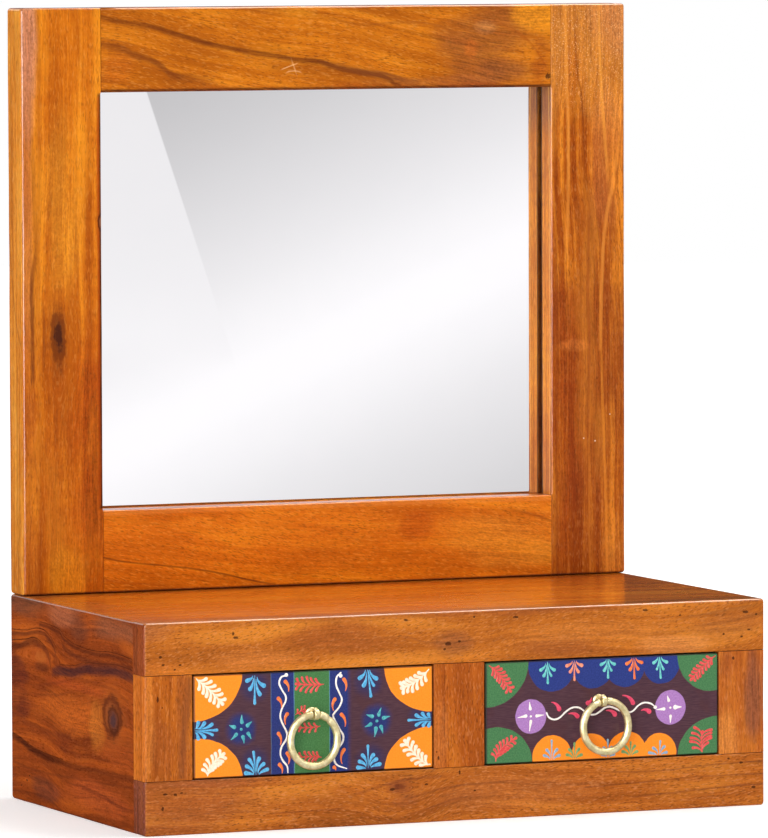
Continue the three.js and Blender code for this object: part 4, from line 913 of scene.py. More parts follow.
post_right_wood = wood("wood_post_right", "ZXY", (220, 128, 58), (190, 102, 46), (136, 64, 32), 12.0, ring_w=7, bands=0.55, lines=0.45, flecks=0.55, fleck_len=5, cloud=0.4, ripple=0.2, warp=2,
                       sat=(0.96, 0.92, 0.64), tints=[{"at": (84, 491), "r": (32, 9), "color": (122, 72, 52), "k": 0.8}, {"at": (106, 470), "r": (12, 8), "color": (140, 68, 34), "k": 0.5}, {"at": (52, 470), "r": (22, 9), "color": (232, 136, 60), "k": 0.6}], pits=[(112, 474, 1.3, 1.4)], deep=1.0)

# painted light: the frame's left face is a brighter copy of the stile wood, standing in for the light falling on it
# from the left; its streaks are grain
frame_side_lit_wood = wood("wood_frame_side_lit", "ZYX", (250, 172, 74), (230, 140, 50), (176, 92, 26), 13.0, ring_w=5, bands=0.8, lines=0.6, flecks=0.6, fleck_len=7, cloud=0.6, ripple=0.2, warp=2,
                       streaks=[{"pts": [(430, -3), (395, -8), (370, -14), (345, -26)], "w": (1.2, 1.8), "k": 0.6, "color": (140, 70, 26)},
                                {"pts": [(600, -6), (520, -7), (440, -5)], "w": (1.2, 1.6), "k": 0.45, "color": (150, 84, 30)},
                                {"pts": [(330, -20), (260, -17), (156, -19)], "w": (1.4, 1.8), "k": 0.4, "color": (160, 84, 30)}], sat=(1.0, 0.98, 0.8))
reveal_wood = wood("wood_stile_reveal", "ZYX", (236, 162, 62), (204, 122, 38), (128, 62, 20), 17.0, ring_w=9, bands=0.6, lines=0.3, flecks=0.5, fleck_len=8, cloud=0.6, ripple=0.2, warp=1.5, rough=0.45, coat=0.25,
                   streaks=[{"pts": [(200, -25.5), (380, -26.5), (550, -25)], "w": (1.6, 1.6), "k": 0.5, "color": (244, 178, 88)},
                            {"pts": [(200, -19), (330, -20), (440, -18), (550, -20)], "w": (1.2, 2.6), "k": 0.3, "color": (130, 66, 24)},
                            # painted shade: the back of the reveal darkened where it meets the shadow gap in front of
                            # the mirror
                            {"pts": [(200, -6.3), (380, -6.3), (550, -6.3)], "w": (30.0, 30.0), "k": 0.97, "color": (26, 8, 5), "wob": 0.05, "side": ("Y", -13.8, -13.2)}],
                   # painted shade: the first tint darkens the top of the reveal, under the top rail
                   tints=[{"at": (530, -20), "r": (30, 16), "color": (112, 72, 50), "k": 0.6}, {"at": (250, -20), "r": (60, 14), "color": (150, 76, 24), "k": 0.4}], sat=(0.96, 0.93, 0.62))
end_top_wood = wood("wood_rail_end_top", "ZYX", (186, 96, 48), (158, 74, 38), (108, 46, 26), 14.0, ring_w=5, bands=0.7, lines=0.5, flecks=0.7, fleck_len=3, cloud=0.5, ripple=0.2, warp=2, sat=(1.0, 1.0, 0.85),
                    streaks=[{"pts": [(117, -262), (156, -264)], "w": (1.5, 3.5), "k": 0.5, "color": (96, 44, 26)}])
end_low_wood = wood("wood_rail_end_low", "ZYX", (180, 98, 62), (150, 78, 50), (104, 50, 36), 15.0, ring_w=5, bands=0.7, lines=0.5, flecks=0.7, fleck_len=3, cloud=0.5, ripple=0.2, warp=2, sat=(1.0, 1.0, 0.95),
                    streaks=[{"pts": [(0, -266), (40, -264)], "w": (2.0, 3.0), "k": 0.45, "color": (84, 40, 36)}])
post_side_wood = wood("wood_post_side", "ZYX", (236, 140, 58), (214, 116, 42), (168, 76, 24), 16.0, ring_w=4, bands=0.7, lines=0.6, flecks=0.7, fleck_len=5, cloud=0.5, ripple=0.2, warp=1.5, sat=(1.0, 0.98, 0.8))

# frame: stiles run the full height, rails stand between them
OX0, OX1, OZ0, OZ1 = 64.6, 437.0, 219.2, 535.9
FZ0, FH, FT = 156.3, 600.0, 30.0


def sight(tt):
    """Radius of the inner front edge: eased at the opening, crisp where the rails meet it."""
    inside = min(tt - OZ0, OZ1 - tt)
    return 0.25 + 1.25 * min(1.0, max(0.0, inside / 1.5 + 0.35))


near_corners = [OZ0 - 1.2, OZ0 - 0.4, OZ0 + 0.4, OZ0 + 1.2, OZ1 - 1.2, OZ1 - 0.4, OZ1 + 0.4, OZ1 + 1.2]
rebates = lambda: [
    box_tool(OX0 - 8, OX1 + 8, -FT + 18.4, 3, OZ0 - 8, OZ1 + 8),
    box_tool(OX0 - 22, OX1 + 22, -3.4, 3, OZ0 - 22, OZ1 + 22),
]


def keyhole_tools(x):
    return [
        box_tool(x - 9.3, x + 9.3, -1.9, 3, 529.7, 582.3),
        box_tool(x - 6.5, x + 6.5, -10.6, 3, 540, 572),
        *[rod_tool("y", (z, x), -16.4, 3, 1.9, n=24) for z in (535, 577)],
    ]


stile_l = board("frame_stile_left_board", "z", (0, -FT, FZ0), (64.45, 0, FH), (2.5, sight, 0.3, 2.5), (2.2, 2.2), (1, 0, 1, 1), seed=1.0, extra=near_corners)
carve(stile_l, *rebates(), *keyhole_tools(32.3), *[rod_tool("y", (z, 49.6), -16.4, 3, 1.7, n=24) for z in (300, 455)])
place(stile_l, stile_left_wood, "case", "frame_stile_left", side_mat=frame_side_lit_wood)
stile_r = board("frame_stile_right_board", "z", (437.15, -FT, FZ0), (500, 0, FH), (sight, 2.5, 2.5, 0.3), (2.2, 2.2), (0, 1, 1, 1), seed=2.0, extra=near_corners)
carve(stile_r, *rebates(), *keyhole_tools(468.5), *[rod_tool("y", (z, 452), -16.4, 3, 1.7, n=24) for z in (300, 455)])
place(stile_r, right_stile_wood, "case", "frame_stile_right", side_mat=reveal_wood, side_x=0.1985)
rail_t = board("frame_rail_top_board", "x", (64.75, -FT, OZ1), (436.85, 0, FH), (1.5, 0.3, 2.5, 2.5), (0, 0), seed=3.0)
carve(rail_t, *rebates())
place(rail_t, top_rail_wood, "case", "frame_rail_top")
rail_b = board("frame_rail_bottom_board", "x", (64.75, -FT, FZ0), (436.85, 0, OZ0), (2.2, 2.2, 0.3, 1.5), (0, 0), seed=4.0)
carve(rail_b, *rebates(), *[rod_tool("z", (x, -15), 150, FZ0 + 42, 2.5, n=24) for x in (112, 388)])
place(rail_b, bottom_rail_wood, "case", "frame_rail_bottom")

# ------------------------------------------------------------------ drawer case

CD, CH, FB = 280.0, 156.0, -258.0
PB = FB + 0.3


def case_board(name, axis, lo, hi, radii, ends, sides, mat, node, side_mat=None, **kw):
    return place(board(name, axis, lo, hi, radii, ends, sides, **kw), mat, "case", node, side_mat=side_mat)


case_board("face_rail_top_board", "x", (0, -CD, 117.4), (500, FB, CH), (0.9, 0.2, 0.2, 2.4), (2.4, 2.4), (1, 0, 0, 1), face_top_wood, "face_rail_top", seed=5.0, side_mat=end_top_wood)
case_board("face_rail_bottom_board", "x", (0, -CD, 0), (500, FB, 39.9), (2.2, 0.5, 0.2, 0.9), (2.4, 2.4), (1, 0, 1, 0), face_low_wood, "face_rail_bottom", seed=6.0, side_mat=end_low_wood)
case_board("face_post_left_board", "z", (0, -CD, 40.15), (37.8, FB, 117.15), (2.4, 0.9, 0.3, 0.3), (0, 0), (1, 1, 1, 1), post_left_wood, "face_post_left", seed=7.0, side_mat=post_side_wood)
case_board("face_post_centre_board", "z", (229.4, -CD, 40.15), (270.3, FB, 117.15), (0.9, 0.9, 0.3, 0.3), (0, 0), (1, 1, 1, 1), post_centre_wood, "face_post_centre", seed=8.0)
case_board("face_post_right_board", "z", (462.2, -CD, 40.15), (500, FB, 117.15), (0.9, 2.4, 0.3, 0.3), (0, 0), (1, 1, 1, 1), post_right_wood, "face_post_right", seed=9.0)


def arc_pts(ca, cb, r, q0, q1, seg):
    return [(ca + r * math.cos(math.radians(q0 + (q1 - q0) * i / seg)), cb + r * math.sin(math.radians(q0 + (q1 - q0) * i / seg))) for i in range(seg + 1)]


def between(p, q, step, n=None):
    n = n or max(1, round(math.dist(p, q) / step))
    return [(p[0] + (q[0] - p[0]) * i / n, p[1] + (q[1] - p[1]) * i / n) for i in range(1, n)]


def side_ring(tt, flip):
    """Section of a case side, mitred at its top edge, in (z, distance from the outer face)."""
    e = end_inset(tt, PB, 0.0, 0.0, 2.2)
    r = 2.4 * (1 + 0.2 * nz(tt, 3.0 + flip, 0.0, 41.0))
    low = arc_pts(e + r, e + r, r, 180, 270, 5)
    high = arc_pts(CH - e - r, e + r, r, 270, 315, 3)
    g = 0.16
    high = [(a - g, b) for a, b in high]
    inner_top, inner_low = (138.0 - g, 18.0), (0.4, 18.0)
    pts = low + between(low[-1], high[0], 12, 13) + high + between(high[-1], inner_top, 9, 2) + [inner_top] + between(inner_top, inner_low, 14) + [inner_low]
    if flip:
        pts = [(a, 500.0 - b) for a, b in reversed(pts)]
    return pts


def top_ring(tt):
    e = end_inset(tt, PB, 0.0, 0.0, 2.2)
    r = 2.4 * (1 + 0.2 * nz(tt, 3.0, 0.0, 41.0))
    g = 0.16
    left = arc_pts(CH - e - r, e * 0 + r, r, 315, 360, 3)
    left = [(a, b + g) for a, b in left]
    rr = [(a, 500.0 - b) for a, b in reversed(left)]
    i0, i1 = (138.0, 18.0 + g), (138.0, 482.0 - g)
    return [i0] + between(i0, left[0], 9, 2) + left + between(left[-1], rr[0], 14, 35) + rr + between(rr[-1], i1, 9, 2) + [i1] + between(i1, i0, 30)


def loft_board(name, axis, stations, ring, lo, hi, wear=0.1, seed=0.0):
    _, verts, faces = loft(name, axis, stations, ring)
    out = []
    for v in verts:
        q = [wear * noise.noise(Vector((v[0] / 55 + seed, v[1] / 55 + 7 * k, v[2] / 55))) for k in range(3)]
        out.append([min(max(v[k] + q[k], lo[k]), hi[k]) for k in range(3)])
    return mesh_object(name, [P(*v) for v in out], faces)


case_st = stations_for(PB, 0.0, 0.0, 2.2, 14.0)
place(loft_board("case_side_left_board", "y", case_st, lambda q: side_ring(q, 0), (0, PB, 0), (18, 0, CH), seed=10.0), case_left_wood, "case", "case_side_left")
place(loft_board("case_side_right_board", "y", case_st, lambda q: side_ring(q, 1), (482, PB, 0), (500, 0, CH), seed=11.0), case_right_wood, "case", "case_side_right")
top = loft_board("case_top_board", "y", case_st, top_ring, (0, PB, 138), (500, 0, CH), wear=0.06, seed=12.0)
carve(top, *[rod_tool("z", (x, -15), 130, 160, 2.9, n=24) for x in (112, 388)], *[rod_tool("z", (x, -15), 137.5, 142, 5.3, 2.7, n=24) for x in (112, 388)])
place(top, case_top_wood, "case", "case_top")

# ------------------------------------------------------------------ plain inner finishes


def inner_wood(name, grain, seed, ply=False):
    m, t = material(name)
    X = dict(zip("XYZ", object_mm(t)))
    u, v, d = (X[c] for c in grain)
    us = t.add(u, seed * 91.7)
    n1 = t.noise(t.xyz(t.mul(us, 1 / 200.0), t.mul(v, 1 / 50.0), t.mul(d, 1 / 50.0)), 1.0, 2.0)
    vv = t.add(v, t.madd(n1, 14.0, -7.0))
    band = t.noise(t.xyz(t.mul(us, 1 / 420.0), t.mul(vv, 1 / 7.0), t.mul(d, 1 / 20.0)), 1.0, 3.0, 0.6)
    fib = t.noise(t.xyz(t.mul(us, 1 / 22.0), t.mul(vv, 1 / 0.8), t.mul(d, 1 / 0.8)), 1.0, 2.0, 0.6)
    tone = t.add(t.madd(band, 1.1, -0.05), t.madd(fib, 0.4, -0.2))
    if ply:
        stops = [(0.15, srgb(168, 128, 82)), (0.5, srgb(196, 158, 108)), (0.85, srgb(216, 182, 134))]
    else:
        stops = [(0.15, srgb(142, 92, 52)), (0.5, srgb(178, 124, 76)), (0.85, srgb(202, 152, 102))]
    col = t.ramp(tone, stops)
    if ply:
        # thin plies show on the edges
        lay = t.math("FRACT", t.mul(d, 1 / 1.4))
        edge = t.mul(t.step(0.42, 0.55, lay), t.step(0.98, 0.85, lay))
        col = t.mix(t.mul(edge, 0.12), col, srgb(130, 88, 52))
    pore = t.step(0.6, 0.76, t.noise(t.xyz(t.mul(us, 1 / 4.0), t.mul(vv, 1 / 0.6), t.mul(d, 1 / 0.6)), 1.0, 1.0))
    col = t.mix(t.mul(pore, 0.35), col, srgb(96, 60, 34))
    bs = t.new("ShaderNodeBsdfPrincipled")
    t.put(bs.inputs["Base Color"], col)
    t.put(bs.inputs["Roughness"], t.madd(fib, 0.2, 0.52))
    bs.inputs["IOR"].default_value = 1.35
    bump = t.new("ShaderNodeBump")
    bump.inputs["Strength"].default_value = 0.5
    bump.inputs["Distance"].default_value = 0.0002
    t.put(bump.inputs["Height"], t.sub(fib, pore))
    t.put(bs.inputs["Normal"], bump.outputs[0])
    t.t.links.new(bs.outputs[0], t.new("ShaderNodeOutputMaterial").inputs[0])
    return m


inner_x, inner_y = inner_wood("inner_wood_x", "XZY", 1), inner_wood("inner_wood_y", "YZX", 2)
ply_v, ply_h = inner_wood("plywood_back", "XZY", 3, ply=True), inner_wood("plywood_bottom", "YXZ", 4, ply=True)


def metal(name, light, dark, rough, scale=260.0, grime=0.5, bump_d=0.00006):
    m, t = material(name)
    o = t.new("ShaderNodeTexCoord").outputs["Object"]
    a = t.noise(o, scale, 4.0, 0.6)
    b = t.noise(o, scale * 4.5, 3.0, 0.6)
    col = t.mix(t.step(0.35, 0.68, a), srgb(*dark), srgb(*light))
    col = t.mix(t.mul(t.step(0.55, 0.75, b), grime * 0.6), col, srgb(*[c * 0.6 for c in dark]))
    bs = t.new("ShaderNodeBsdfPrincipled")
    t.put(bs.inputs["Base Color"], col)
    bs.inputs["Metallic"].default_value = 1.0
    t.put(bs.inputs["Roughness"], t.madd(a, 0.2, rough - 0.1))
    bump = t.new("ShaderNodeBump")
    bump.inputs["Strength"].default_value = 0.6
    bump.inputs["Distance"].default_value = bump_d
    t.put(bump.inputs["Height"], t.add(a, t.mul(b, 0.4)))
    t.put(bs.inputs["Normal"], bump.outputs[0])
    t.t.links.new(bs.outputs[0], t.new("ShaderNodeOutputMaterial").inputs[0])
    return m


steel = metal("zinc_steel", (214, 216, 218), (168, 170, 172), 0.34)
brass = metal("aged_brass", (242, 230, 186), (216, 200, 148), 0.47, scale=230.0, grime=0.4, bump_d=0.00008)

m, t = material("packing_black")
o = t.new("ShaderNodeTexCoord").outputs["Object"]
bs = t.new("ShaderNodeBsdfPrincipled")
t.put(bs.inputs["Base Color"], t.mix(t.noise(o, 300.0, 3.0), srgb(24, 18, 15), srgb(44, 30, 24)))
bs.inputs["Roughness"].default_value = 0.8
t.t.links.new(bs.outputs[0], t.new("ShaderNodeOutputMaterial").inputs[0])
packing = m

m, t = material("mirror_silver")
o = t.new("ShaderNodeTexCoord").outputs["Object"]
ox, oy, oz = t.split(o)
bs = t.new("ShaderNodeBsdfPrincipled")
edge_dark = t.noise(o, 40.0, 2.0)
t.put(bs.inputs["Base Color"], t.mix(edge_dark, (0.955, 0.965, 0.965, 1), (0.975, 0.98, 0.978, 1)))
bs.inputs["Metallic"].default_value = 1.0
t.put(bs.inputs["Roughness"], t.mul(t.noise(o, 18.0, 3.0), 0.012))
t.t.links.new(bs.outputs[0], t.new("ShaderNodeOutputMaterial").inputs[0])
mirror_mat = m

mirror = board("mirror_plate", "y", (57.6, -7.8, 212.2), (444.0, -3.8, 542.9), (0.8, 0.8, 0.8, 0.8), (0.4, 0.4), (1, 1, 1, 1), step=400, wear=0.0)
place(mirror, mirror_mat, "case", "mirror_glass", angle=4)

nodes = frame["nodes"]


def finish_node(name, mat):
    ob = nodes[name]
    ob.data.materials.clear()
    ob.data.materials.append(mat)
    for poly in ob.data.polygons:
        poly.material_index = 0


for name in nodes:
    if name.endswith(("_screw_left", "_screw_right")) or "_screw_" in name or name.startswith("hanging_plate") or "eye_nut" in name:
        finish_node(name, steel)
finish_node("mirror_packing", packing)
finish_node("mirror_backing_board", ply_v)
for name in ("case_bottom", "case_back", "drawer_stop_left", "drawer_stop_right"):
    finish_node(name, inner_x)
for name in ("centre_divider", "drawer_kicker_left", "drawer_kicker_right", "drawer_guide_left_outer", "drawer_guide_left_inner", "drawer_guide_right_outer", "drawer_guide_right_inner"):
    finish_node(name, inner_y)
for name in ("drawer_left_bottom", "drawer_right_bottom"):
    finish_node(name, ply_h)

# ------------------------------------------------------------------ drawers

DRAWERS = {
    "left": dict(x0=38.6, x1=228.6, eye=(131.4, 85.0), lean=-4.6),
    "right": dict(x0=271.1, x1=461.4, eye=(362.8, 84.9), lean=6.9),
}
DZ0, DZ1 = 40.7, 116.5


def paint_base(side):
    m, t = material("painted_front_" + side)
    x, y, z = object_mm(t)
    s, h = t.sub(x, DRAWERS[side]["x0"]), t.sub(z, DZ0)
    W, H = DRAWERS[side]["x1"] - DRAWERS[side]["x0"], DZ1 - DZ0
    vec = t.xyz(t.mul(x, 1.0), t.mul(y, 1.0), t.mul(z, 1.0))
    wob = t.madd(t.noise(vec, 0.12, 2.0, 0.6), 1.3, -0.65)
    fine = t.noise(vec, 0.9, 3.0, 0.6)
    brush = t.noise(t.xyz(t.mul(s, 0.12), t.mul(h, 1.3), t.mul(y, 0.5)), 1.0, 2.0, 0.6)
    col = t.mix(t.step(0.3, 0.7, brush), srgb(72, 44, 56), srgb(90, 58, 66))
    col = t.mix(t.mul(t.step(0.52, 0.7, t.noise(vec, 0.05, 2.0)), 0.5), col, srgb(84, 48, 50))

    def dist(cx, cz, kx=1.0, kz=1.0):
        a = t.mul(t.sub(s, cx), kx)
        b = t.mul(t.sub(h, cz), kz)
        return t.math("SQRT", t.add(t.mul(a, a), t.mul(b, b)))

    def lay(mask, c0, c1, k=1.0):
        nonlocal col
        shade = t.mix(t.step(0.3, 0.7, fine), srgb(*c0), srgb(*c1))
        col = t.mix(t.mul(mask, k) if k != 1.0 else mask, col, shade)

    def disc(cx, cz, r, kx=1.0, kz=1.0, soft=0.22):
        return t.step(r + soft, r - soft, t.add(dist(cx, cz, kx, kz), wob))

    def band(a, b, soft=0.22):
        x2 = t.add(s, wob)
        return t.mul(t.step(a - soft, a + soft, x2), t.step(b + soft, b - soft, x2))

    if side == "left":
        navy0, navy1 = (34, 46, 104), (46, 58, 128)
        lay(band(61.1, 79.4), navy0, navy1)
        lay(t.mul(band(107.4, 125.4, 0.25), t.step(125.8, 119.0, t.add(s, wob))), navy0, navy1)
        lay(band(107.4, 121.5), navy0, navy1)
        lay(band(79.4, 107.4), (60, 112, 62), (78, 130, 76))
        for px in (79.2, 107.4, 61.0):
            lay(t.step(0.42, 0.18, t.absval(t.sub(t.add(s, t.mul(wob, 0.5)), px))), (90, 150, 186), (120, 174, 196), 0.55 if px > 62 else 0.25)
        for cx, cz in ((37.2, 34.9), (144.8, 36.7)):
            lay(t.step(14.5, 6.5, t.add(dist(cx, cz), t.mul(wob, 2.4))), (28, 46, 106), (34, 58, 124), 0.9)
        for cx, cz in ((48, 10), (48, 66), (140, 8), (138, 66), (8, 34), (182, 38)):
            lay(t.step(14.5, 5.0, t.add(dist(cx, cz), t.mul(wob, 2.4))), (30, 44, 96), (34, 52, 108), 0.55)
        for cx, cz, rx, rz in ((-0.2, 76.6, 38.6, 34.6), (4.2, -1.6, 34.2, 30.8), (190.0, 75.6, 39.0, 34.0), (190.6, -0.6, 39.6, 31.6)):
            lay(disc(cx, cz, rx, 1.0, rx / rz), (250, 134, 20), (255, 148, 32))
    else:
        navy0, navy1 = (36, 52, 118), (46, 62, 138)
        for cx, cz, r in ((53.8, 71.2, 19.0), (87.4, 70.0, 16.8), (113.8, 69.4, 16.2), (143.6, 69.4, 14.9)):
            lay(disc(cx, cz, r), navy0, navy1)
        lay(t.mul(t.mul(t.step(36.0, 37.0, s), t.step(155.6, 154.6, s)), t.step(64.5, 65.5, t.add(h, wob))), navy0, navy1)
        for cx, cz, r in ((53.8, 3.7, 15.9), (85.6, 3.6, 16.0), (114.9, 3.9, 16.0), (141.6, 3.4, 14.1)):
            lay(disc(cx, cz, r), (250, 134, 22), (255, 148, 34))
        lay(t.mul(t.mul(t.step(38.2, 38.8, s), t.step(154.8, 154.2, s)), t.step(6.0, 5.0, t.add(h, wob))), (250, 134, 22), (255, 148, 34))
        for cx, cz, r in ((36.6, 34.4, 12.5), (150.8, 36.4, 12.5)):
            lay(disc(cx, cz, r, 1.0, 0.97), (160, 112, 176), (180, 132, 194))
        for cx, cz, rx, rz in ((0.6, 75.6, 34.0, 33.0), (8.1, 0.8, 29.2, 26.6), (184.3, 75.6, 27.8, 28.2), (190.0, 0.6, 33.0, 27.6)):
            lay(disc(cx, cz, rx, 1.0, rx / rz), (62, 114, 70), (80, 132, 84))
    # painted shade: the front darkens within its last millimetre or two at each edge, standing in for the shadow in the
    # gap around the drawer
    rim = t.math("MAXIMUM", t.math("MAXIMUM", t.step(1.7, 0.5, s), t.step(W - 1.5, W - 0.4, s)), t.math("MAXIMUM", t.step(1.3, 0.3, h), t.step(H - 1.5, H - 0.4, h)))
    col = t.mix(t.mul(rim, 0.8), col, srgb(26, 15, 16))
    # the paint ends behind the front's own edge
    back = t.step(-262.0, -264.0, y)
    col = t.mix(back, srgb(150, 100, 60), col)
    bs = t.new("ShaderNodeBsdfPrincipled")
    t.put(bs.inputs["Base Color"], col)
    t.put(bs.inputs["Roughness"], t.madd(fine, 0.18, 0.34))
    bs.inputs["IOR"].default_value = 1.3
    bs.inputs["Coat Weight"].default_value = 0.15
    bs.inputs["Coat Roughness"].default_value = 0.15
    bs.inputs["Coat IOR"].default_value = 1.3
    bump = t.new("ShaderNodeBump")
    bump.inputs["Strength"].default_value = 0.4
    bump.inputs["Distance"].default_value = 0.00015
    t.put(bump.inputs["Height"], t.add(brush, t.mul(fine, 0.5)))
    t.put(bs.inputs["Normal"], bump.outputs[0])
    t.t.links.new(bs.outputs[0], t.new("ShaderNodeOutputMaterial").inputs[0])
    return m


for side, dr in DRAWERS.items():
    body = "drawer_" + side
    x0, x1 = dr["x0"], dr["x1"]
    b0, b1 = x0 + 1.4, x1 - 1.4
    front = board(f"drawer_{side}_front_board", "y", (x0, -280, DZ0), (x1, -260, DZ1), (1.9, 1.9, 1.9, 1.9), (1.3, 0.6), (1, 1, 1, 1), step=12, wear=0.0, seed=13.0)
    carve(front, rod_tool("y", (dr["eye"][1], dr["eye"][0]), -282, -258, 2.4, n=24), box_tool(b0 + 5, b1 - 5, -265, -259, 44.7, 50.3))
    place(front, paint_base(side), body, f"drawer_{side}_front", angle=25)
    for part, xa, xb, ga, gb in (("side_left", b0, b0 + 10, b0 + 5, b0 + 11), ("side_right", b1 - 10, b1, b1 - 11, b1 - 5)):
        ob = board(f"drawer_{side}_{part}_board", "y", (xa, -259.7, 40.15), (xb, -24.6, 110), (0.6, 1.4, 1.4, 0.6), (0.3, 0.8), (1, 1, 1, 1), step=14, wear=0.1, seed=14.0)
        carve(ob, box_tool(ga, gb, -262, -22, 44.7, 50.3))
        place(ob, inner_y, body, f"drawer_{side}_{part}")
    ob = board(f"drawer_{side}_back_board", "x", (b0 + 10.3, -34.6, 40.15), (b1 - 10.3, -24.6, 108), (0.6, 0.6, 1.4, 1.4), (0.3, 0.3), (1, 1, 1, 1), step=14, wear=0.1, seed=15.0)
    carve(ob, box_tool(b0 + 8, b1 - 8, -36, -29.6, 44.7, 50.3))
    place(ob, inner_x, body, f"drawer_{side}_back")

# ------------------------------------------------------------------ ring pulls

RING_R, RING_TUBE, RING_NECK = 19.05, 2.8, 1.75
EYE_Y = -288.5


def sstep(a, b, x):
    q = min(1.0, max(0.0, (x - a) / (b - a)))
    return q * q * (3 - 2 * q)


def ring_radius(angle, eye_angle, mark):
    q = ((angle - eye_angle + 540) % 360) - 180
    r = RING_NECK + (RING_TUBE - RING_NECK) * sstep(7, 9.5, abs(q))
    if mark == 1:
        r -= 0.4 * (1 - sstep(2.5, 5.5, abs(q - 33)))
        r += 0.05 * (1 - sstep(1.5, 4.5, abs(q - 43)))
        r += 0.12 * (1 - sstep(6.0, 9.0, abs(q - 20)))
    else:
        r += 0.25 * (1 - sstep(1.0, 4.0, abs(q + 13)))
        r -= 0.3 * (1 - sstep(0.6, 2.0, abs(q + 18.5)))
    return r


def ring_mesh(side, dr, mark):
    na, ns = 220, 28
    lean = math.radians(dr["lean"])
    twist = math.radians(3.5)
    ex, ez = dr["eye"]
    cx, cz = math.sin(lean) * RING_R, -math.cos(lean) * RING_R
    verts, faces = [], []
    for i in range(na):
        a = 2 * math.pi * i / na
        r0 = ring_radius(math.degrees(a), -dr["lean"], mark)
        for j in range(ns):
            q = 2 * math.pi * j / ns
            # a cast ring is never quite round in section or in sweep
            r = r0 * (1 - 0.02 * (1 + noise.noise(Vector((3 * math.cos(a), 3 * math.sin(a), 2.0 * mark + math.cos(q))))))
            big = RING_R + 0.18 * noise.noise(Vector((1.4 * math.cos(a), 1.4 * math.sin(a), 9.0 + mark))) * sstep(10, 40, abs(((math.degrees(a) + dr["lean"] + 540) % 360) - 180))
            px = cx + math.sin(a) * (big + r * math.cos(q))
            pz = cz + math.cos(a) * (big + r * math.cos(q))
            py = r * math.sin(q)
            x = px * math.cos(twist) - py * math.sin(twist)
            y = px * math.sin(twist) + py * math.cos(twist)
            verts.append(P(ex + x, EYE_Y + y, ez + pz))
    for i in range(na):
        for j in range(ns):
            i2, j2 = (i + 1) % na, (j + 1) % ns
            faces.append((i * ns + j, i * ns + j2, i2 * ns + j2, i2 * ns + j))
    return mesh_object(f"ring_pull_{side}_cast", verts, faces)


def lathe(axis, c, profile, n=40, closed=False):
    """Turns (along, radius) points about an axis through c; an open profile starts and ends on the axis."""
    verts, faces = [], []

    def at(tt, u, v):
        return P(*{"x": (c[0] + tt, c[1] + u, c[2] + v), "y": (c[0] + v, c[1] + tt, c[2] + u), "z": (c[0] + u, c[1] + v, c[2] + tt)}[axis])

    k = len(profile)
    rows = []
    for tt, r in profile:
        if r <= 1e-6 and not closed:
            rows.append([len(verts)])
            verts.append(at(tt, 0, 0))
        else:
            rows.append(list(range(len(verts), len(verts) + n)))
            verts += [at(tt, r * math.cos(2 * math.pi * i / n), r * math.sin(2 * math.pi * i / n)) for i in range(n)]
    pairs = [(i, i + 1) for i in range(k - 1)] + ([(k - 1, 0)] if closed else [])
    for p, q in pairs:
        A, B = rows[p], rows[q]
        for i in range(n):
            i2 = (i + 1) % n
            if len(A) == 1:
                faces.append((A[0], B[i2], B[i]))
            elif len(B) == 1:
                faces.append((A[i], A[i2], B[0]))
            else:
                faces.append((A[i], A[i2], B[i2], B[i]))
    return mesh_object("turned", verts, faces)


def unite(name, obs):
    base = obs[0]
    for o2 in obs[1:]:
        mod = base.modifiers.new("join", "BOOLEAN")
        mod.operation, mod.object, mod.solver = "UNION", o2, "EXACT"
    dg = bpy.context.evaluated_depsgraph_get()
    me = bpy.data.meshes.new_from_object(base.evaluated_get(dg))
    for o2 in obs:
        data = o2.data
        bpy.data.objects.remove(o2)
        bpy.data.meshes.remove(data)
    ob = bpy.data.objects.new(name, me)
    me.name = name
    scene.collection.objects.link(ob)
    me.polygons.foreach_set("use_smooth", [True] * len(me.polygons))
    return ob


def fillet_band(half, r_in, r_out, f, seg=4):
    """Closed section of an eye: width 2*half between two radii, with rounded corners; counter-clockwise in (radius, along) reversed."""
    pts = []
    for ca, cr, q0 in ((half - f, r_out - f, 0), (-half + f, r_out - f, 90), (-half + f, r_in + f, 180), (half - f, r_in + f, 270)):
        for i in range(seg + 1):
            q = math.radians(q0 + 90 * i / seg)
            pts.append((ca + f * math.cos(q), cr + f * math.sin(q)))
    return pts


for mark, (side, dr) in enumerate(DRAWERS.items(), 1):
    ring = ring_mesh(side, dr, mark)
    place(ring, brass, "ring_" + side, f"ring_pull_{side}", angle=50)
    ex, ez = dr["eye"]
    eye = lathe("x", (ex, EYE_Y, ez), [(a, r) for a, r in reversed(fillet_band(1.8, 2.42, 4.25, 0.55))], n=48, closed=True)
    stem = lathe("y", (ex, 0, ez), [(-285.6, 0), (-285.6, 1.5), (-284.6, 1.75), (-282.2, 2.0), (-281.4, 2.3), (-281.0, 2.3), (-281.0, 0)], n=32)
    collar = lathe("y", (ex, 0, ez), [(-281.7, 0), (-281.7, 3.0), (-281.5, 3.9), (-280.9, 4.6), (-280.35, 4.75), (-280.3, 4.5), (-280.3, 0)], n=40)
    shank = lathe("y", (ex, 0, ez), [(-281.2, 0), (-281.2, 2.0), (-254.4, 2.0), (-254.0, 1.6), (-254.0, 0)], n=24)
    bead = lathe("z", (ex, EYE_Y, ez), [(3.6, 0), (3.7, 1.3), (4.5, 1.25), (4.85, 0.9), (5.0, 0.45), (5.05, 0)], n=24)
    whole = unite(f"ring_eye_{side}_cast", [eye, stem, collar, shank, bead])
    place(whole, brass, "drawer_" + side, f"ring_eye_{side}", angle=40)

# ------------------------------------------------------------------ raised brush strokes


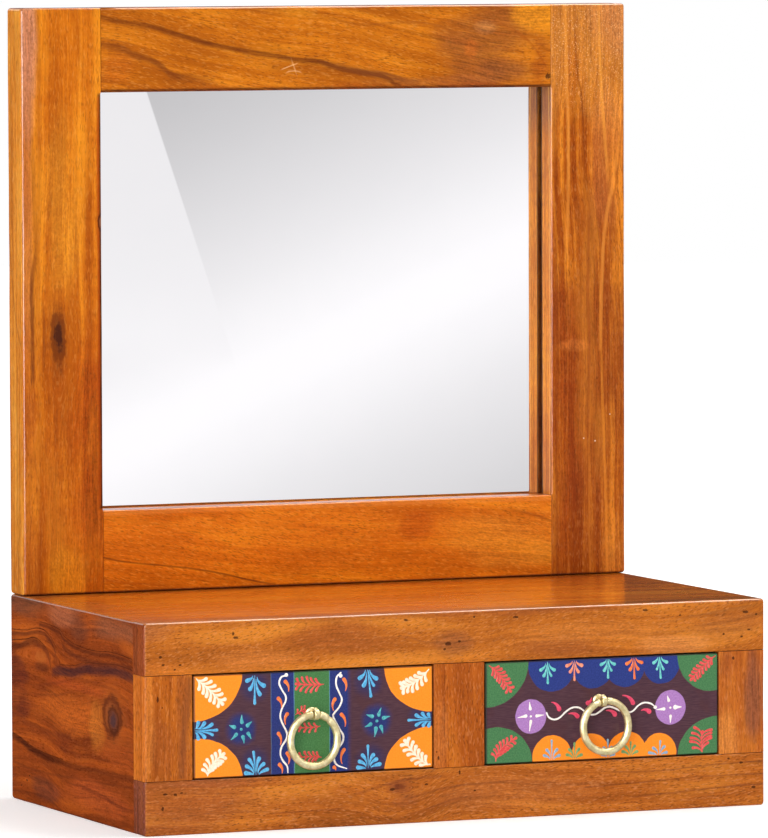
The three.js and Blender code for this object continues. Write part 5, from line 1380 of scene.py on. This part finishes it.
class Strokes:
    """Raised paint on a drawer front: half-round beads laid along a line in millimetres from its lower left corner."""

    def __init__(self, side):
        self.side, self.x0, self.sets = side, DRAWERS[side]["x0"], {}

    def bead(self, colour, pts, radii, height=0.42, seg=6):
        V, F = self.sets.setdefault(colour, ([], []))
        pts = [Vector(p) for p in pts]
        if len(pts) == 1:
            pts = [pts[0] - Vector((radii[0] * 0.02, 0)), pts[0] + Vector((radii[0] * 0.02, 0))]
            radii = [radii[0], radii[0]]
        n = len(pts)
        tang = [(pts[min(i + 1, n - 1)] - pts[max(i - 1, 0)]).normalized() for i in range(n)]
        st = []
        for a in (0.995, 0.86, 0.6, 0.3):
            st.append((pts[0] - tang[0] * radii[0] * a, tang[0], radii[0] * math.sqrt(1 - a * a)))
        st += [(pts[i], tang[i], radii[i]) for i in range(n)]
        for a in (0.3, 0.6, 0.86, 0.995):
            st.append((pts[-1] + tang[-1] * radii[-1] * a, tang[-1], radii[-1] * math.sqrt(1 - a * a)))
        base = len(V)
        for c, d, r in st:
            side = Vector((-d[1], d[0]))
            h = min(height, 0.62 * r + 0.02)
            for j in range(seg + 1):
                q = math.pi * j / seg
                p = c + side * (r * math.cos(q))
                V.append(P(self.x0 + p[0], -279.95 - h * math.sin(q) * (0.9 if 0 < j < seg else 0), DZ0 + p[1]))
        k = seg + 1
        for i in range(len(st) - 1):
            a, b = base + i * k, base + (i + 1) * k
            for j in range(seg):
                F.append((a + j, b + j, b + j + 1, a + j + 1))
            F.append((a + seg, b + seg, b, a))
        F.append(tuple(base + j for j in range(k)))
        F.append(tuple(reversed([base + (len(st) - 1) * k + j for j in range(k)])))

    def drop(self, colour, head, tail, r, bend=0.0, thin=0.28, **kw):
        """A pressed drop: round head, thin tail; bend bows it sideways as a share of its length."""
        a, b = Vector(head), Vector(tail)
        d = b - a
        s = Vector((-d[1], d[0])) * bend
        pts, rad = [], []
        for i in range(7):
            f = i / 6
            pts.append(a + d * f + s * (4 * f * (1 - f)))
            rad.append(r * (1 - f) ** 0.8 * (1 - thin) + r * thin)
        self.bead(colour, pts, rad, **kw)

    def spray(self, colour, root, direction, size, n=5, spread=150, head=None, stem=True):
        """A fan of drops whose tails meet at the root."""
        base = math.radians(direction)
        for i in range(n):
            f = (i / (n - 1) - 0.5) if n > 1 else 0
            a = base + math.radians(spread) * f
            ln = size * (1.0 - 0.55 * abs(f) * 1.2)
            tip = (root[0] + math.cos(a) * ln, root[1] + math.sin(a) * ln)
            start = (root[0] + math.cos(a) * ln * 0.12, root[1] + math.sin(a) * ln * 0.12)
            self.drop(colour, tip, start, head or size * 0.13, bend=-0.18 * (1 if f > 0 else -1 if f < 0 else 0))

    def build(self):
        made = []
        for colour, (V, F) in self.sets.items():
            ob = mesh_object(f"paint_{self.side}_{colour}", V, F)
            made.append((colour, ob))
        return made


def stroke_paint(name, c0, c1):
    m, t = material("paint_" + name)
    x, y, z = object_mm(t)
    n = t.noise(t.xyz(x, y, z), 0.5, 3.0, 0.6)
    bs = t.new("ShaderNodeBsdfPrincipled")
    t.put(bs.inputs["Base Color"], t.mix(t.step(0.3, 0.7, n), srgb(*c0), srgb(*c1)))
    t.put(bs.inputs["Roughness"], t.madd(n, 0.2, 0.25))
    bs.inputs["IOR"].default_value = 1.4
    bump = t.new("ShaderNodeBump")
    bump.inputs["Strength"].default_value = 0.3
    bump.inputs["Distance"].default_value = 0.0001
    t.put(bump.inputs["Height"], n)
    t.put(bs.inputs["Normal"], bump.outputs[0])
    t.t.links.new(bs.outputs[0], t.new("ShaderNodeOutputMaterial").inputs[0])
    return m


PAINTS = {
    "white": stroke_paint("white", (244, 232, 222), (255, 250, 244)),
    "cream": stroke_paint("cream", (244, 222, 192), (252, 238, 216)),
    "sky": stroke_paint("sky", (74, 158, 208), (104, 190, 232)),
    "teal": stroke_paint("teal", (60, 150, 160), (92, 186, 190)),
    "mint": stroke_paint("mint", (84, 186, 186), (128, 214, 206)),
    "salmon": stroke_paint("salmon", (232, 128, 96), (248, 160, 128)),
    "orange": stroke_paint("orange", (240, 110, 50), (250, 134, 66)),
    "red": stroke_paint("red", (214, 66, 66), (232, 92, 88)),
    "pink": stroke_paint("pink", (222, 56, 92), (236, 84, 112)),
    "blue": stroke_paint("blue", (128, 160, 190), (150, 180, 200)),
    "green": stroke_paint("green", (110, 150, 90), (140, 176, 112)),
}

# Kinds: fan (root, heads), branch (stem from root to tip, pairs of leaves), line (path, dot), drops (head and tail pairs).
LEFT_STROKES = [
    ("fan", "sky", (48.2, 75.0), [(42.1, 70.4), (44.5, 64.2), (48.1, 53.7), (52.1, 60.1), (55.3, 66.3)], 1.75),
    ("fan", "sky", (137.5, 76.7), [(131.4, 68.7), (134.6, 63.2), (140.3, 55.1), (142.6, 62.9), (144.6, 67.9)], 1.7),
    ("fan", "sky", (49.0, -0.6), [(40.8, 2.2), (41.6, 7.5), (43.7, 12.3), (47.0, 17.7), (51.4, 12.7), (54.9, 8.7), (57.8, 4.6)], 1.65),
    ("fan", "sky", (138.0, 1.3), [(129.8, 2.6), (131.1, 7.0), (133.5, 11.5), (137.8, 18.2), (142.0, 11.4), (144.4, 8.1), (147.1, 4.4)], 1.65),
    ("fan", "sky", (0.4, 35.4), [(3.6, 41.1), (8.4, 40.7), (14.2, 39.5), (18.2, 35.2), (14.7, 31.9), (8.4, 30.5), (3.6, 29.7)], 1.6),
    ("fan", "sky", (188.9, 35.6), [(186.4, 39.6), (181.6, 40.3), (176.6, 39.3), (170.5, 35.9), (176.6, 32.0), (182.2, 31.5), (186.7, 31.1)], 1.5),
    ("drops", "teal", [((37.9, 40.2), (37.9, 45.3)), ((42.4, 37.6), (45.6, 40.1)), ((42.9, 31.5), (45.0, 27.8)), ((38.7, 29.2), (39.5, 24.8)), ((33.3, 31.2), (29.4, 27.7)), ((31.8, 36.8), (28.0, 38.2)), ((37.3, 34.9), (37.3, 35.1))], 1.55, 0.06),
    ("drops", "teal", [((146.6, 41.0), (148.4, 45.8)), ((150.5, 38.4), (155.3, 39.4)), ((148.4, 31.9), (149.7, 27.4)), ((144.2, 30.8), (143.1, 25.0)), ((139.9, 34.2), (135.7, 32.6)), ((141.2, 40.0), (137.0, 41.4)), ((145.0, 36.4), (145.0, 36.7))], 1.6, 0.06),
    ("line", "white", [(73.1, 73.0), (69.2, 72.0), (67.5, 67.7), (69.5, 62.8), (72.5, 58.0), (72.4, 53.9), (69.8, 49.4), (68.2, 43.6), (69.6, 38.5), (72.4, 33.2), (73.7, 29.0), (72.4, 25.2), (69.2, 20.7), (68.2, 15.4), (70.0, 10.7), (73.5, 6.2), (74.1, 1.3)], 0.72, (73.1, 75.0)),
    ("line", "white", [(116.3, 73.2), (113.1, 70.1), (112.7, 64.3), (115.2, 58.3), (117.1, 53.6), (115.2, 48.3), (111.2, 43.9), (110.1, 41.5), (112.3, 36.8), (115.5, 31.3), (118.1, 26.8), (117.6, 22.4), (114.7, 18.1), (111.7, 13.6), (110.9, 9.0), (113.6, 5.0), (120.8, 2.3)], 0.72, (116.3, 71.0)),
    ("drops", "orange", [((72.4, 68.5), (74.8, 61.4)), ((66.8, 56.3), (69.2, 48.7)), ((73.7, 44.6), (72.4, 37.1)), ((66.8, 30.5), (68.2, 22.2)), ((73.7, 15.7), (74.5, 7.8)), ((67.6, 7.6), (69.5, 1.2)), ((118.9, 68.2), (120.0, 59.8)), ((111.5, 53.8), (110.4, 45.8)), ((116.8, 42.4), (119.7, 33.5)), ((118.7, 16.3), (117.1, 6.1)), ((110.9, 3.7), (112.0, 1.7))], 1.55, 0.3),
    ("branch", "red", [(102.7, 65.4), (93.7, 65.3), (80.9, 66.5)], 5, 10.6, 1.09, 42),
    ("branch", "red", [(99.8, 34.6), (92.3, 33.9), (82.5, 34.3)], 4, 6.7, 0.96, 42),
    ("branch", "red", [(80.4, 43.9), (84.1, 46.2), (87.3, 47.5)], 3, 5.0, 0.90, 42),
    ("branch", "red", [(100.6, 11.6), (93.7, 12.4), (82.0, 12.2)], 5, 7.3, 1.02, 42),
    ("branch", "cream", [(1.2, 73.7), (11.3, 66.0), (22.7, 54.2)], 6, 10.3, 1.47, 42),
    ("branch", "cream", [(186.7, 72.9), (176.8, 64.7), (164.9, 60.0)], 6, 10.1, 1.47, 42),
    ("branch", "cream", [(10.8, 0.5), (13.4, 8.7), (23.5, 17.5)], 6, 9.6, 1.41, 42),
    ("branch", "cream", [(188.0, 1.2), (177.4, 8.5), (167.5, 20.8)], 6, 10.1, 1.47, 42),
]
RIGHT_STROKES = [
    ("fan", "mint", (50.1, 75.0), [(44.7, 68.7), (47.4, 64.4), (50.5, 58.9), (53.2, 64.2), (55.7, 68.4)], 1.4),
    ("fan", "salmon", (72.1, 75.6), [(66.1, 71.0), (68.8, 66.4), (72.2, 60.3), (75.3, 66.2), (78.0, 70.9)], 1.4),
    ("fan", "mint", (99.6, 75.9), [(94.1, 70.8), (96.6, 66.4), (99.7, 60.9), (102.4, 66.2), (104.8, 70.7)], 1.4),
    ("fan", "orange", (120.7, 76.2), [(115.1, 70.6), (117.8, 66.0), (121.4, 59.6), (124.3, 66.3), (127.3, 71.0)], 1.4),
    ("fan", "mint", (141.7, 75.9), [(137.2, 70.4), (139.8, 65.5), (142.9, 59.1), (145.2, 65.3), (147.9, 70.5)], 1.4),
    ("fan", "blue", (53.6, 0.3), [(47.4, 4.8), (49.6, 8.7), (53.5, 15.5), (57.7, 8.6), (59.6, 4.3)], 1.3),
    ("fan", "green", (72.1, 0.3), [(66.1, 4.5), (68.0, 8.2), (72.1, 12.7), (75.8, 8.3), (77.7, 4.0)], 1.3),
    ("fan", "blue", (99.7, 0.4), [(94.8, 3.3), (96.2, 8.3), (99.4, 14.1), (102.4, 8.3), (104.3, 3.2)], 1.3),
    ("fan", "green", (118.1, 0.4), [(111.6, 4.9), (114.3, 8.3), (118.1, 11.4), (121.4, 8.5), (123.3, 4.4)], 1.3),
    ("fan", "blue", (141.7, 0.1), [(133.5, 3.0), (136.8, 6.4), (142.5, 11.2), (145.7, 7.0), (147.4, 2.7)], 1.3),
    ("line", "white", [(49.4, 36.5), (51.2, 33.2), (55.5, 31.3), (60.3, 32.7), (65.3, 36.9), (70.4, 39.5), (75.8, 39.3), (80.6, 36.3), (84.7, 34.0), (89.1, 33.8), (93.2, 35.9), (97.8, 38.7), (102.9, 38.6), (109.7, 35.5), (115.1, 34.1), (119.9, 34.9), (124.6, 39.0), (129.5, 40.8), (134.9, 39.8), (138.7, 36.9)], 0.7, (138.4, 37.0)),
    ("drops", "white", [((36.2, 40.2), (35.6, 45.0)), ((32.5, 34.9), (26.0, 33.9)), ((36.6, 30.8), (35.5, 23.6)), ((41.4, 34.6), (46.9, 35.1)), ((36.6, 34.5), (36.6, 34.6)), ((149.5, 41.6), (148.4, 45.1)), ((145.5, 35.4), (139.5, 35.1)), ((151.0, 29.7), (150.8, 24.9)), ((150.8, 36.1), (150.8, 36.2))], 1.25, 0.0),
    ("drops", "white", [((155.0, 36.3), (159.8, 36.3))], 1.75, 0.0),
    ("drops", "pink", [((59.6, 39.1), (53.6, 44.3)), ((74.5, 33.1), (67.7, 35.1)), ((83.2, 42.5), (86.1, 46.1)), ((105.1, 33.2), (98.1, 36.2)), ((120.0, 41.1), (111.6, 47.0)), ((133.3, 34.1), (127.0, 35.1))], 1.9, -0.3),
    ("branch", "red", [(3.0, 73.6), (11.6, 65.9), (20.3, 53.9)], 7, 8.5, 1.22, 42),
    ("branch", "red", [(188.0, 74.0), (178.2, 66.2), (168.0, 56.5)], 7, 7.8, 1.22, 42),
    ("branch", "red", [(8.1, 2.1), (11.9, 10.4), (24.4, 18.8)], 7, 8.3, 1.22, 42),
    ("branch", "red", [(177.4, 0.4), (176.4, 7.6), (177.4, 17.0)], 5, 15.5, 1.15, 52),
]


def smooth_path(pts, per=5):
    """A Catmull-Rom line through the points."""
    q = [Vector(p) for p in pts]
    q = [q[0] * 2 - q[1]] + q + [q[-1] * 2 - q[-2]]
    out = []
    for i in range(1, len(q) - 2):
        a, b, c, d = q[i - 1], q[i], q[i + 1], q[i + 2]
        for j in range(per):
            f = j / per
            out.append(0.5 * (2 * b + (c - a) * f + (2 * a - 5 * b + 4 * c - d) * f * f + (3 * b - a - 3 * c + d) * f ** 3))
    out.append(q[-2])
    return out


def inside(side, p, r):
    wide, high = DRAWERS[side]["x1"] - DRAWERS[side]["x0"], DZ1 - DZ0
    k = r + 1.0
    return Vector((min(max(p[0], k), wide - k), min(max(p[1], k), high - k)))


def brush_drop(st, side, colour, head, ctrl, tail, r, thin=0.26, seed=0.0):
    """One pressed stroke from its round head to its thin tail, bent by the control point."""
    a, c, b = Vector(head), Vector(ctrl), Vector(tail)
    pts, rad = [], []
    for i in range(9):
        f = i / 8
        rr = r * ((1 - f) ** 1.15 * (1 - thin) + thin) * (1 + 0.12 * noise.noise(Vector((a[0] * 0.7 + seed, a[1] * 0.7, f * 3))))
        p = a * (1 - f) ** 2 + c * 2 * f * (1 - f) + b * f * f
        pts.append(inside(side, p, rr))
        rad.append(rr)
    keep = [0]
    for i in range(1, 9):
        if (pts[i] - pts[keep[-1]]).length > 0.12:
            keep.append(i)
    if len(keep) < 2:
        st.bead(colour, [pts[0]], [r])
        return
    st.bead(colour, [pts[i] for i in keep], [rad[i] for i in keep])


def paint_strokes(side, table):
    st = Strokes(side)
    for kind, colour, *rest in table:
        if kind == "fan":
            root, heads, r = Vector(rest[0]), [Vector(h) for h in rest[1]], rest[2]
            axis = max(heads, key=lambda h: (h - root).length) - root
            axis.normalize()
            for h in heads:
                v = h - root
                along = v.dot(axis)
                ctrl = root + axis * along * 0.72 + (v - axis * along) * 0.28
                middle = abs(along - v.length) < 0.4
                brush_drop(st, side, colour, h, ctrl, root + (h - root) * (0.04 if middle else 0.26), r * (0.74 if middle else 0.98), thin=0.14)
        elif kind == "drops":
            pairs, r, bend = rest
            for head, tail in pairs:
                a, b = Vector(head), Vector(tail)
                d = b - a
                mid = (a + b) / 2 + Vector((-d[1], d[0])) * bend
                if bend > 0.2:
                    mid = (a + b) / 2 + Vector((-d[1], d[0])) * (bend if d[0] > 0 else -bend)
                if d.length < 0.5:
                    st.bead(colour, [inside(side, a, r)], [r * 0.72])
                else:
                    brush_drop(st, side, colour, a, mid, b, r, thin=0.22)
        elif kind == "line":
            pts, r, dot = rest
            path = smooth_path(pts)
            n = len(path)
            rad = [r * (1 + 0.22 * noise.noise(Vector((i * 0.21, r * 9, 4.0)))) * (1 if i < n - 6 else 0.62 + 0.38 * (n - 1 - i) / 6) for i in range(n)]
            path = [inside(side, p, q) for p, q in zip(path, rad)]
            keep = [0] + [i for i in range(1, n) if (path[i] - path[i - 1]).length > 0.1]
            st.bead(colour, [path[i] for i in keep], [rad[i] for i in keep], height=0.34)
            st.bead(colour, [inside(side, Vector(dot), r * 2)], [r * 2.0])
        else:
            path, n, size, r, swing = rest
            a, c, b = (Vector(p) for p in path)
            c = c * 2 - (a + b) / 2  # the stem passes through the middle point
            at = lambda f: a * (1 - f) ** 2 + c * 2 * f * (1 - f) + b * f * f
            stem = [inside(side, at(i / 10), r) for i in range(11)]
            keep = [0] + [i for i in range(1, 11) if (stem[i] - stem[i - 1]).length > 0.1]
            if len(keep) > 2:
                st.bead(colour, [stem[i] for i in keep], [r * (0.34 + 0.2 * i / 10) for i in keep], height=0.22)
            brush_drop(st, side, colour, at(1.0), at(0.94), at(0.82), r * 1.05)
            for i in range(n):
                f = 0.1 + 0.74 * i / max(1, n - 1)
                p, t2 = at(f), (at(min(1, f + 0.05)) - at(max(0, f - 0.05))).normalized()
                ln = size * (0.62 + 0.5 * math.sin(math.pi * (0.22 + 0.62 * i / max(1, n - 1)))) * (0.9 + 0.2 * noise.noise(Vector((p[0], p[1], 3.0))))
                for sgn in (1, -1):
                    q = math.radians(swing * (1 + 0.18 * noise.noise(Vector((p[1], i * 1.7, sgn * 2.0)))) * sgn)
                    d = Vector((t2[0] * math.cos(q) - t2[1] * math.sin(q), t2[0] * math.sin(q) + t2[1] * math.cos(q)))
                    head = p + d * ln * 0.72
                    ctrl = p + t2 * ln * 0.3 + d * ln * 0.12
                    brush_drop(st, side, colour, head, ctrl, p, r, thin=0.34, seed=i)
    for colour, ob in st.build():
        ob.data.materials.append(PAINTS[colour])
        ob.data.set_sharp_from_angle(angle=math.radians(70))
        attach(ob, "drawer_" + side)


paint_strokes("left", LEFT_STROKES)
paint_strokes("right", RIGHT_STROKES)

# the card and the room light only what should mirror them
shiny = bpy.data.collections.new("shiny")
for ob in scene.objects:
    if ob.type == "MESH" and ob.data.materials and ob.data.materials[0] in (mirror_mat, brass, steel):
        shiny.objects.link(ob)
for ob in (card, room, floor_glow):
    ob.light_linking.receiver_collection = shiny
